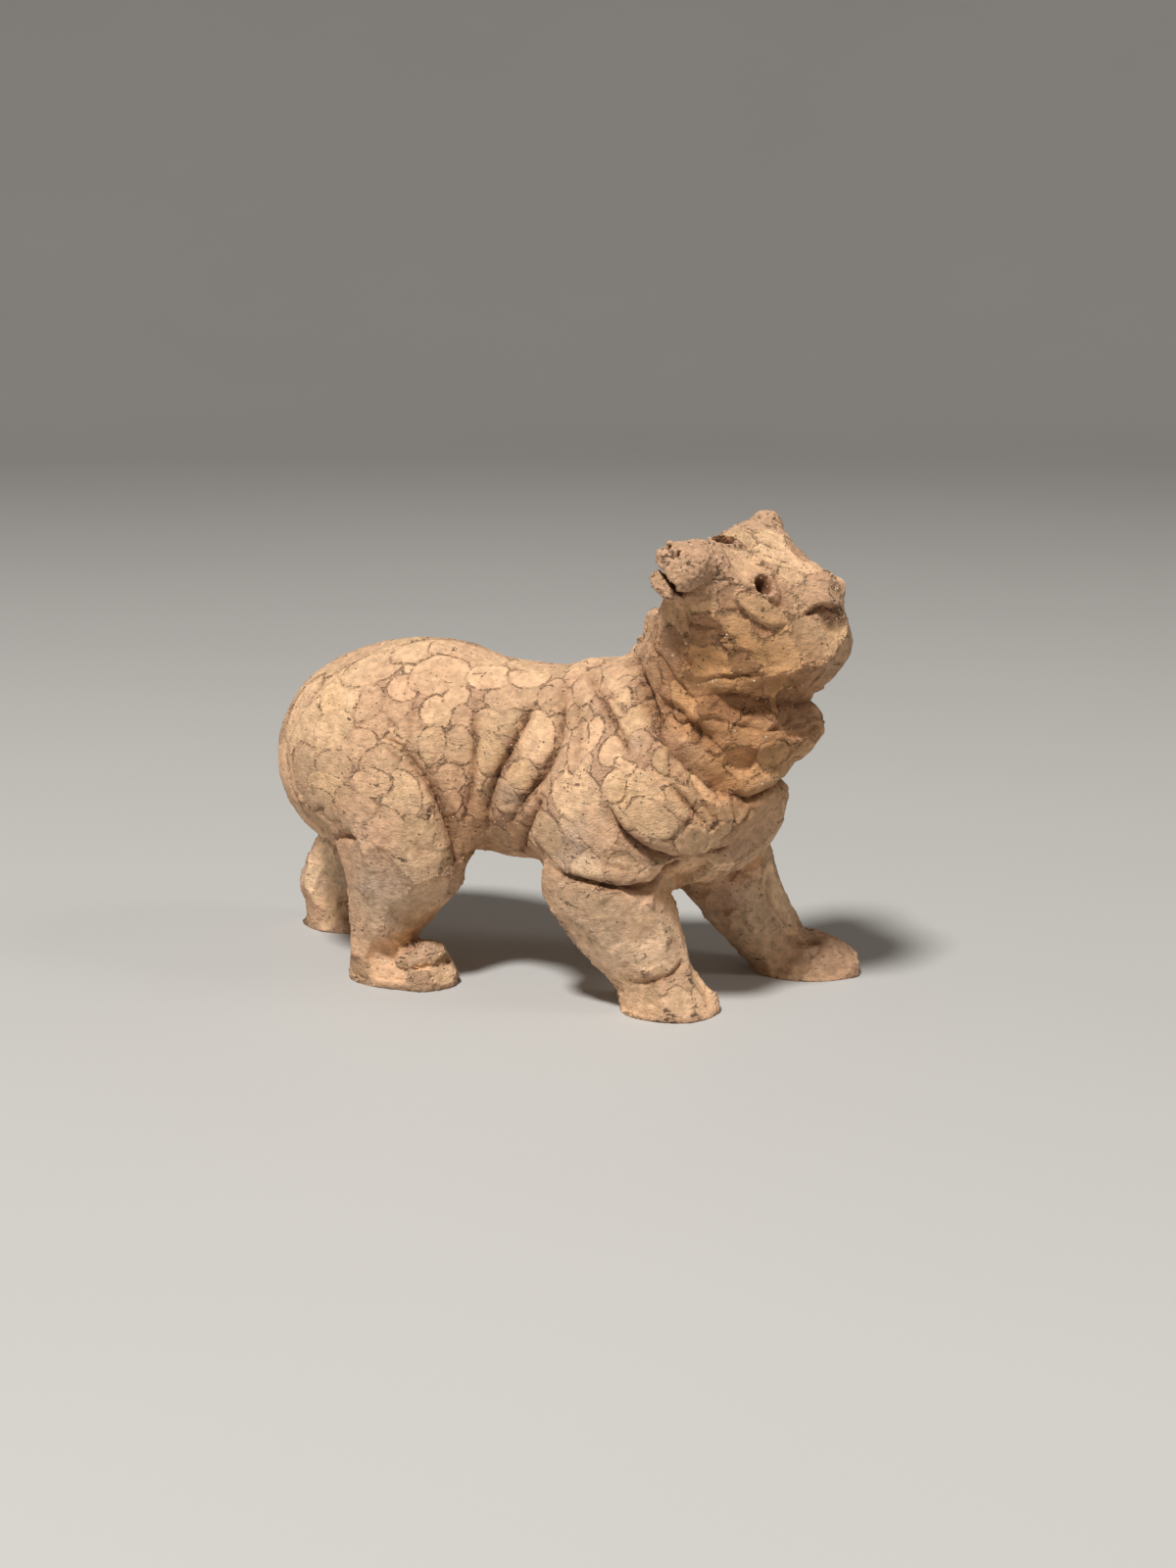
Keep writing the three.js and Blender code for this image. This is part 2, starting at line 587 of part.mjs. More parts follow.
// A closed three.js geometry as a solid that can be joined and cut.
function solidFrom(geometry, matrix = new THREE.Matrix4()) {
  const bare = geometry.clone().applyMatrix4(matrix);
  bare.deleteAttribute("normal");
  bare.deleteAttribute("uv");
  const merged = mergeVertices(bare, 1e-4);
  return new wasm.Manifold(
    new wasm.Mesh({
      numProp: 3,
      vertProperties: new Float32Array(merged.attributes.position.array),
      triVerts: new Uint32Array(merged.index.array),
    }),
  );
}

function geometryFrom(solid) {
  const { vertProperties, triVerts } = solid.getMesh();
  const geometry = new THREE.BufferGeometry();
  geometry.setAttribute("position", new THREE.BufferAttribute(new Float32Array(vertProperties), 3));
  geometry.setIndex(new THREE.BufferAttribute(new Uint32Array(triVerts), 1));
  geometry.computeVertexNormals();
  return geometry;
}

// A matrix that puts a tool's +Z along a direction, at a place given in figure units.
function aimed(at, direction, sideways = [0, 0, 1]) {
  const z = unitOf(direction);
  const x = unitOf(cross(sideways, z));
  const y = cross(z, x);
  const place = new THREE.Vector3(...at).multiplyScalar(UNIT);
  const matrix = new THREE.Matrix4().makeBasis(...[x, y, z].map((v) => new THREE.Vector3(...v)));
  return matrix.setPosition(place);
}

const headDirection = (...v) => sub(onHead(...v), HEAD_CENTRE);

// A pit with sloping walls, opening outward from the surface.
function pit(width, depth, at, out) {
  const overshoot = 2;
  const mouth = (width / 2) * (1 + overshoot / (depth * 2));
  const cone = new THREE.CylinderGeometry(mouth, width / 5, depth + overshoot, 8);
  cone.rotateX(Math.PI / 2);
  cone.translate(0, 0, overshoot - (depth + overshoot) / 2);
  return solidFrom(cone, aimed(onSurface(figure, at), out));
}

const { corners, triangles } = thinned(surfaceOf(carved), TRIANGLES);
const clay = new THREE.BufferGeometry();
clay.setAttribute("position", new THREE.Float32BufferAttribute(corners.flat(), 3));
clay.setIndex(triangles.flat());
let bear = solidFrom(clay, new THREE.Matrix4().makeScale(UNIT, UNIT, UNIT));

const tableTop = [REGION.high[0], REGION.high[1], SOLE_LEVEL];
const tableSize = sub(tableTop, REGION.low);
const table = new THREE.BoxGeometry(...tableSize);
table.translate(...REGION.low.map((v, i) => v + tableSize[i] / 2));
table.scale(UNIT, UNIT, UNIT);
bear = bear.subtract(solidFrom(table));
for (const { at, out } of EYES) {
  bear = bear.subtract(pit(EYE_WIDTH, EYE_DEPTH, onHead(...at), headDirection(...out)));
}
for (const at of NOSTRILS) {
  bear = bear.subtract(pit(NOSTRIL_WIDTH, NOSTRIL_DEPTH, onHead(...at), headDirection(...NOSTRIL_OUT)));
}
const slit = new THREE.BoxGeometry(MOUTH_GAPE, MOUTH_WIDTH, MOUTH_DEPTH * 2);
const slitMiddle = onHead(NOSE[0], NOSE[1], MOUTH_LEVEL);
bear = bear.subtract(solidFrom(slit, aimed(slitMiddle, headDirection(1, 0, 0), headDirection(0, 1, 0))));

const solid = geometryFrom(bear);
solid.computeBoundingBox();
const { min, max } = solid.boundingBox;
solid.translate(-(min.x + max.x) / 2, -(min.y + max.y) / 2, -min.z);

const terracotta = new THREE.MeshStandardMaterial({ color: 0xc98d5f, roughness: 0.92, metalness: 0 });
const mesh = new THREE.Mesh(solid, terracotta);
mesh.name = "bear";
const figurine = new THREE.Group();
figurine.add(mesh);
export default figurine;
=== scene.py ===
# %% [markdown]
# # A small terracotta bear
# The real piece is a hand-modelled bear of coarse, unglazed clay: a smooth body, pared with a knife into
# flat patches, with deep folds and torn grit between the patches; the dark in its folds and openings is
# painted shade here.
# The imported solid gives its size, its pose and its place. It is loaded first and stays as it is, and the
# finely carved clay of this lesson is made in the same frame to stand in front of it.

# %% Load the imported solid
import bpy
import numpy as np
from mathutils import Matrix, Vector, kdtree
from mathutils.bvhtree import BVHTree


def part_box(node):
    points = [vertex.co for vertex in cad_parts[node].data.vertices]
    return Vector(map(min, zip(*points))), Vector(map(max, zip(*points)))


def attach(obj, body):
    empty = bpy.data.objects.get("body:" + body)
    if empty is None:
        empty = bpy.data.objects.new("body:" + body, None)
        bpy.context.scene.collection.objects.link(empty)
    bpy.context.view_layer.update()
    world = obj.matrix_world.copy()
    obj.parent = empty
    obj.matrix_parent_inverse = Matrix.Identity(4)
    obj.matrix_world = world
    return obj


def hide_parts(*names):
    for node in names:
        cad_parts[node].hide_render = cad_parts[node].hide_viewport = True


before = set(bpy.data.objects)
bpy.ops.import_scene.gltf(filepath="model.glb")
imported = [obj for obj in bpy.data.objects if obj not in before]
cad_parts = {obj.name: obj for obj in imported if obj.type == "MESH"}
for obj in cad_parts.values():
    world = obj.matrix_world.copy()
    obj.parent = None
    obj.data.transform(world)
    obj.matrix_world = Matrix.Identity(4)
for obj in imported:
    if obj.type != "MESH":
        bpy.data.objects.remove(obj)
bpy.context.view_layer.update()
low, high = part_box("bear")
print("the solid is", [round((b - a) * 1000, 1) for a, b in zip(low, high)], "mm")

# %% [markdown]
# ## The camera
# A camera is easiest to place from the object outwards: an azimuth round it, an elevation over the floor,
# and a distance. The lens is long, so that the near paws don't grow against the far ones.
# Clay is worked in millimetres, so the carving below is laid out in millimetres too, and only the finished
# mesh is scaled to metres. The same camera later turns marks seen in the picture into places on the clay.

# %% Place the camera
def in_scene(name, data):
    """A new object of the scene."""
    made = bpy.data.objects.new(name, data)
    bpy.context.scene.collection.objects.link(made)
    return made


MM = 0.001
AZIMUTH, ELEVATION = np.radians([22.0, 13.0])
EYE_POINT = np.array([245.0, -573.2, 198.2])
FOCAL_PIXELS, PICTURE_WIDE, PICTURE_TALL = 2310.0, 1200, 1600

aside = np.array([np.cos(AZIMUTH), np.sin(AZIMUTH), 0.0])
toward = np.array([
    -np.sin(AZIMUTH) * np.cos(ELEVATION), np.cos(AZIMUTH) * np.cos(ELEVATION), -np.sin(ELEVATION)
])
upward = np.cross(aside, toward)

lens = bpy.data.cameras.new("camera")
lens.sensor_fit = "VERTICAL"
lens.sensor_height = 36.0
lens.lens = FOCAL_PIXELS / PICTURE_TALL * lens.sensor_height
camera = in_scene("camera", lens)
camera.matrix_world = Matrix((
    (aside[0], upward[0], -toward[0], EYE_POINT[0] * MM),
    (aside[1], upward[1], -toward[1], EYE_POINT[1] * MM),
    (aside[2], upward[2], -toward[2], EYE_POINT[2] * MM),
    (0, 0, 0, 1),
))
bpy.context.scene.camera = camera
print("lens", round(lens.lens, 2), "mm, eye", camera.location[:])

# %% [markdown]
# ## The body as soft forms
# A modeller builds a figure from lumps and rolls of clay and smears them together. The same can be done
# with distance functions: each lump tells how far a point is from its skin, and two distances are joined
# with a fillet where they meet. Subdivided boxes could do it as well, but a limb would then need its own
# loops of faces, and a fold across two limbs would be hard. Distances join anything to anything.

# %% Lumps and rolls of clay
def turned(yaw=0.0, pitch=0.0, roll=0.0):
    """Forward, left and up of a lump turned by yaw, pitch (nose up) and roll (left side up), in degrees."""
    y, p, r = np.radians([yaw, pitch, roll])
    forward = np.array([np.cos(p) * np.cos(y), np.cos(p) * np.sin(y), np.sin(p)])
    level = np.array([-np.sin(y), np.cos(y), 0.0])
    up = np.cross(forward, level) * np.cos(r) + level * np.sin(r)
    return np.stack([forward, np.cross(up, forward), up])


def ball(centre, half, fillet, axes=None):
    """An egg-shaped lump."""
    half = np.array(half, np.float32)

    def distance(points):
        off = points - np.array(centre, np.float32)
        if axes is not None:
            off = off @ axes.T.astype(np.float32)
        off = off / half
        k0 = np.sqrt((off * off).sum(1))
        off = off / half
        k1 = np.sqrt((off * off).sum(1))
        return k0 * (k0 - 1) / np.maximum(k1, 1e-6)

    return distance, fillet


def limb(start, end, start_radius, end_radius, fillet, breadth=1.0):
    """A tapering roll. A breadth under 1 makes it narrower from side to side."""
    wide = np.array([1, breadth, 1], np.float32)
    a = np.array(start, np.float32) / wide
    along = np.array(end, np.float32) / wide - a

    def distance(points):
        off = points / wide - a
        t = np.clip(off @ along / (along @ along), 0, 1)
        off = off - t[:, None] * along
        return np.sqrt((off * off).sum(1)) - (start_radius + (end_radius - start_radius) * t)

    return distance, fillet


def block(centre, half, rounding, fillet, axes):
    """A block with rounded edges."""
    half = np.array(half, np.float32)

    def distance(points):
        out = np.abs((points - np.array(centre, np.float32)) @ axes.T.astype(np.float32)) - half + rounding
        outer = np.maximum(out, 0)
        return np.sqrt((outer * outer).sum(1)) + np.minimum(out.max(1), 0) - rounding

    return distance, fillet


# %% Where the head is, and the lumps of the figure
HEAD_CENTRE = np.array([54.0, -6.0, 111.0])
HEAD_TURN = (-110, 27, 34)
HEAD_AXES = turned(*HEAD_TURN)


def on_head(forward, left, up):
    """A place given on the head, which looks up and back over the right shoulder."""
    return HEAD_CENTRE + np.array([forward, left, up]) @ HEAD_AXES


def head_turned(yaw, pitch, roll):
    """The axes of a lump that is turned against the head."""
    return turned(yaw, pitch, roll) @ HEAD_AXES


NEAR_EYE, FAR_EYE = (11.0, 12.2, 7.4), (12.8, -7.4, 7.3)
FAR_EAR_TIP = (-8.3, -17.4, 13.8)
TRUNK = [
    ball((-57, 0, 58), (29, 31, 30), 1),
    ball((-84.5, 0, 57), (4, 4.5, 7), 3, turned(0, 20)),
    ball((-37, 0, 62), (28, 26, 30), 12),
    ball((-8, 0, 59), (26, 24, 27.5), 12),
    ball((28, 0, 56), (36, 29, 29.5), 12),
    ball((17, 0, 74), (20, 19, 15.5), 8, turned(0, -10)),
    ball((33, 1, 86), (13, 14, 13), 8, turned(0, -10)),
]
LEGS = [
    ball((21, -18, 51), (25, 16, 21.5), 7),
    limb((20, -20, 32), (32, -17, 9), 17.5, 12, 3, 0.85),
    ball((37.5, -17, -1.5), (14, 12.5, 10), 3),
    ball((40, -19, 61), (19, 13, 11.5), 4, turned(-15, -48)),
    ball((28, 18, 50), (24, 15, 22), 7),
    limb((35, 22, 36), (50, 28, 9), 16, 10.5, 4),
    ball((62, 31, -1.5), (16, 12, 10.5), 3, turned(8)),
    ball((-41, -19, 44), (20, 15, 29), 6),
    limb((-41, -20, 32), (-49, -21, 9), 17, 9.5, 4, 0.85),
    ball((-42, -21, -1), (15, 10, 8.5), 3),
    ball((-33, -21, 1), (8, 9.5, 9), 3),
    ball((-62, 19, 44), (20, 15, 28), 6),
    limb((-68, 20, 34), (-86, 22, 10), 15, 10.5, 4, 0.9),
    ball((-81, 23, -1.5), (16, 11.5, 10), 3),
]
NECK = [
    ball((46, -3, 86), (20, 19, 18), 5),
    ball((51.5, 0, 75), (22.5, 20, 13), 5),
    limb((52, -5, 72), (60, -9, 60), 14, 6, 4),
    ball((56, -2.5, 98), (26.5, 21, 16.5), 6),
    ball((29, 3, 100), (6, 6, 6), 2),
    ball((27, 3, 93), (7, 7, 6), 2),
]
HEAD = [
    ball(on_head(-7, -1, 2), (15, 21.5, 16), 6, HEAD_AXES),
    ball(on_head(5, 1.5, -0.5), (18.5, 17, 11.5), 7, head_turned(0, -8, 0)),
    limb(on_head(10, 0, -13), (42, -8, 88), 9, 15, 6),
    block(on_head(19.5, 0.4, -3.6), (10, 6.9, 3.9), 2.2, 3, head_turned(0, 0, 4)),
    block(on_head(19.5, 2.4, -1.5), (10, 4.8, 5.8), 2.6, 4, head_turned(0, 0, 6)),
    block(on_head(17, 0.5, -10.3), (10.5, 5.5, 2.7), 2, 2, head_turned(0, -2, 0)),
    block(on_head(-7.0, 12.6, 13.6), (5.2, 5.6, 4.8), 2, 3, head_turned(0, 0, 45)),
    limb(on_head(-6.5, -11, 6), on_head(*FAR_EAR_TIP), 11, 4.8, 4),
]
LUMPS = TRUNK + LEGS + NECK + HEAD
SOLE_LEVEL = -2.5
WAVER = 0.55


def figure(points):
    """How far points are from the skin of the uncarved figure, less than 0 inside."""
    points = np.asarray(points, np.float32)
    distance = None
    for lump, fillet in LUMPS:
        here = lump(points)
        if distance is None:
            distance = here
            continue
        near = np.maximum(fillet - np.abs(distance - here), 0) / fillet
        distance = np.minimum(distance, here) - near * near * fillet / 4
    x, y, z = points.T
    sway = np.sin(x / 5.3 + 1.3 * np.sin(z / 9)) * np.sin(y / 4.7 + 0.9 * np.sin(x / 8 + 1))
    return distance + WAVER * sway * np.sin(z / 5.9 + 1.1 * np.sin(y / 7 + 2))


print(len(LUMPS), "lumps; the middle of the head is", round(float(-figure([HEAD_CENTRE])[0]), 1), "mm deep")

# %% [markdown]
# ## A smooth skin to carve on
# The distance field becomes a mesh with surface nets: one vertex in each small cube that the skin passes
# through, one quad for each cube edge that it crosses. The field is worked out on a wide lattice and only
# close to the skin, then filled in between, because every vertex is moved onto the true skin afterwards.
# The mouth, the eyes and the nostrils are real openings, so they are cut from the field before it is meshed.
# All the other carving is a height over this smooth skin, which is easy to see, to add up and to change.

# %% Openings cut from the field
slit, _ = block(on_head(28.5, 0.6, -7.8), (5.0, 5.9, 0.8), 0.3, 1, head_turned(0, 2, 0))


def hole(at, out, bottom_radius, mouth_radius, depth):
    """A tapering hole on the head that opens along the direction out."""
    at, out = np.array(at), np.array(out) / np.linalg.norm(out)
    return limb(on_head(*(at - out * depth)), on_head(*(at + out)), bottom_radius, mouth_radius, 1)[0]


HOLES = [
    hole(NEAR_EYE, (0.41, 0.48, 0.77), 1.0, 3.7, 4.8),
    hole(FAR_EYE, (0.74, 0.05, 0.67), 1.4, 3.6, 4.6),
    hole((29.8, -4.5, -2.2), (1, -0.2, 0.1), 0.4, 1.4, 2.4),
    hole((30.4, 0.4, -1.2), (1, 0, 0.1), 0.4, 1.3, 2.2),
]


def opened(points):
    """The same distance for the figure with its openings cut and its soles flat."""
    points = np.asarray(points, np.float32)
    distance = np.maximum(figure(points), -slit(points))
    for tool in HOLES:
        distance = np.maximum(distance, -tool(points))
    return np.maximum(distance, SOLE_LEVEL - points[:, 2])


# %% The field on a lattice
CELL = 0.52
WIDE = 2 * CELL
BLOCK = 4
SPARE = 1.1
REGION_LOW, REGION_HIGH = np.array([-100.0, -40.0, -6.0]), np.array([88.0, 50.0, 136.0])


def sampled(field):
    """The field on a wide lattice: true near the skin, and one value for each block of places elsewhere."""
    blocks = np.ceil((REGION_HIGH - REGION_LOW) / (WIDE * BLOCK)).astype(int)
    spots = np.stack(np.meshgrid(*[np.arange(n) for n in blocks], indexing="ij"), -1).reshape(-1, 3)
    rough = field(REGION_LOW + (spots * BLOCK + (BLOCK - 1) / 2) * WIDE)
    values = rough.reshape(blocks)
    for axis in range(3):
        values = np.repeat(values, BLOCK, axis)
    near = spots[np.abs(rough) < WIDE * BLOCK * SPARE]
    inner = np.stack(np.meshgrid(*[np.arange(BLOCK)] * 3, indexing="ij"), -1).reshape(-1, 3)
    places = (near[:, None] * BLOCK + inner).reshape(-1, 3)
    values[tuple(places.T)] = field(REGION_LOW + places * WIDE)
    return values


def filled_in(values):
    """The same lattice with a place added halfway between each two."""
    for axis in range(3):
        values = np.moveaxis(values, axis, 0)
        doubled = np.empty((2 * len(values) - 1, *values.shape[1:]), np.float32)
        doubled[::2] = values
        doubled[1::2] = (values[1:] + values[:-1]) / 2
        values = np.moveaxis(doubled, 0, axis)
    return values


def reopened(values, box_low, box_high, depth):
    """Work the openings out in one box, down to a depth under the skin."""
    first = np.maximum((np.array(box_low) - REGION_LOW) // CELL, 0).astype(int)
    last = ((np.array(box_high) - REGION_LOW) // CELL).astype(int)
    inner = values[tuple(slice(a, b) for a, b in zip(first, last))]
    places = np.argwhere(np.abs(inner) < depth)
    inner[tuple(places.T)] = opened(REGION_LOW + (first + places) * CELL)


lattice = filled_in(sampled(figure))
FACE, FACE_REACH, DEEPEST_HOLE = on_head(20, 1, 0), 21, 6.5
reopened(lattice, FACE - FACE_REACH, FACE + FACE_REACH, DEEPEST_HOLE)
reopened(lattice, REGION_LOW, (*REGION_HIGH[:2], SOLE_LEVEL + 2), 3 * CELL)
under = int((SOLE_LEVEL - REGION_LOW[2]) / CELL)
lattice[:, :, :under] = np.maximum(lattice[:, :, :under], CELL)
print("lattice of", lattice.shape, "places")


# %% Surface nets
def netted(values):
    """Vertices and quads of the surface where the values change sign."""
    size = np.array(values.shape)
    inside = values < 0
    summed = np.zeros((*(size - 1), 3), np.float32)
    count = np.zeros(size - 1, np.float32)
    for corner in np.ndindex(2, 2, 2):
        here = tuple(slice(c, n - 1 + c) for c, n in zip(corner, size))
        for axis in range(3):
            if corner[axis]:
                continue
            beyond = list(here)
            beyond[axis] = slice(1, size[axis])
            beyond = tuple(beyond)
            crossed = np.nonzero(inside[here] != inside[beyond])
            a, b = values[here][crossed], values[beyond][crossed]
            met = np.array(corner, np.float32) + np.eye(3, dtype=np.float32)[axis] * (a / (a - b))[:, None]
            summed[crossed] += met
            count[crossed] += 1
    used = count > 0
    number = np.full(size - 1, -1)
    number[used] = np.arange(used.sum())
    vertices = REGION_LOW + CELL * (np.argwhere(used) + summed[used] / count[used][:, None])
    quads = []
    for axis in range(3):
        second, third = (axis + 1) % 3, (axis + 2) % 3
        step = [0, 0, 0]
        step[axis] = 1
        ahead = inside[tuple(slice(s, None) for s in step)]
        behind = inside[tuple(slice(0, n - s) for s, n in zip(step, size))]
        edges = np.argwhere(ahead != behind)
        leaving = behind[tuple(edges.T)]
        ring = []
        for a, b in ((1, 1), (0, 1), (0, 0), (1, 0)):
            cell = edges.copy()
            cell[:, second] -= a
            cell[:, third] -= b
            ring.append(number[tuple(cell.T)])
        ring = np.stack(ring, 1)
        ring[~leaving] = ring[~leaving][:, ::-1]
        quads.append(ring)
    return vertices, np.concatenate(quads)


def facing(vertices, faces):
    """The unit normal of each vertex, from the quads round it."""
    a, b, c, d = (vertices[faces[:, k]] for k in range(4))
    leaning = np.cross(c - a, d - b)
    total = np.stack([
        sum(np.bincount(faces[:, k], leaning[:, i], len(vertices)) for k in range(4)) for i in range(3)
    ], 1)
    return total / np.maximum(np.linalg.norm(total, axis=1, keepdims=True), 1e-12)


STEPS, LONGEST_STEP = 3, 0.3
skin, quads = netted(lattice)
for _ in range(STEPS):
    skin = skin - facing(skin, quads) * np.clip(opened(skin), -LONGEST_STEP, LONGEST_STEP)[:, None]
outward = facing(skin, quads)
print("smooth skin:", len(skin), "vertices,", len(quads), "quads")

# %% [markdown]
# ## From marks in the picture to places on the clay
# Carving has to sit where it really is. A mark is read in the picture as a pixel, and a ray from the
# camera through that pixel is followed until it meets the skin. Because the mark then lies on the clay
# itself, it also looks right from every other side.

# %% Follow a ray to the skin
FIGURE_LOW = np.array([-96.889, -35.511, -2.5])
TO_ROW = np.array(low) / MM - FIGURE_LOW
BODY_MIDDLE = np.array([0.0, 0.0, 60.0])
touch = BVHTree.FromPolygons(skin.tolist(), quads.tolist())


def seen(pixels):
    """The places on the skin that these pixels of the picture show, or that a ray beside it passes."""
    found = []
    for x, y in np.array(pixels, float).reshape(-1, 2):
        ray = (x - PICTURE_WIDE / 2) * aside + (PICTURE_TALL / 2 - y) * upward + FOCAL_PIXELS * toward
        ray /= np.linalg.norm(ray)
        start = EYE_POINT - TO_ROW
        place = touch.ray_cast(start, ray)[0]
        if place is None:
            beside = start + ray * ((BODY_MIDDLE - start) @ ray)
            place = touch.find_nearest(beside)[0]
        found.append(place)
    return np.array(found)


def onto_skin(places):
    """The nearest place on the skin to each of these."""
    return np.array([touch.find_nearest(place)[0] for place in places])


def leaning_at(place, reach=2.5):
    """The mean direction that the skin faces around a place."""
    near = (np.abs(skin - place) < reach).all(1)
    mean = outward[near].sum(0)
    return mean / np.linalg.norm(mean)


print("the near eye is at", seen([(781, 596)])[0].round(1))

# %% [markdown]
# ## Folds
# A fold is a stroke of the modelling tool: a soft hollow with a narrow, torn line along its bottom.
# Each is drawn as a line of marks, with how deep it goes at each mark, and is eased into a smooth curve
# on the skin. The side that isn't seen repeats the folds of the side that is, a little plainer.

# %% Draw the folds
def chain_through(places, depths, spacing=1.0):
    """An even, smoothed chain of points on the skin through the given places, and the depth at each."""
    places, depths = onto_skin(places), np.array(depths, float)
    legs = np.linalg.norm(np.diff(places, axis=0), axis=1)
    along = np.concatenate([[0], np.cumsum(legs)])
    even = np.linspace(0, along[-1], max(4, int(along[-1] / spacing)))
    chain = np.stack([np.interp(even, along, places[:, i]) for i in range(3)], 1)
    for _ in range(10):
        chain[1:-1] = (chain[:-2] + 2 * chain[1:-1] + chain[2:]) / 4
    return onto_skin(chain), np.interp(even, along, depths)


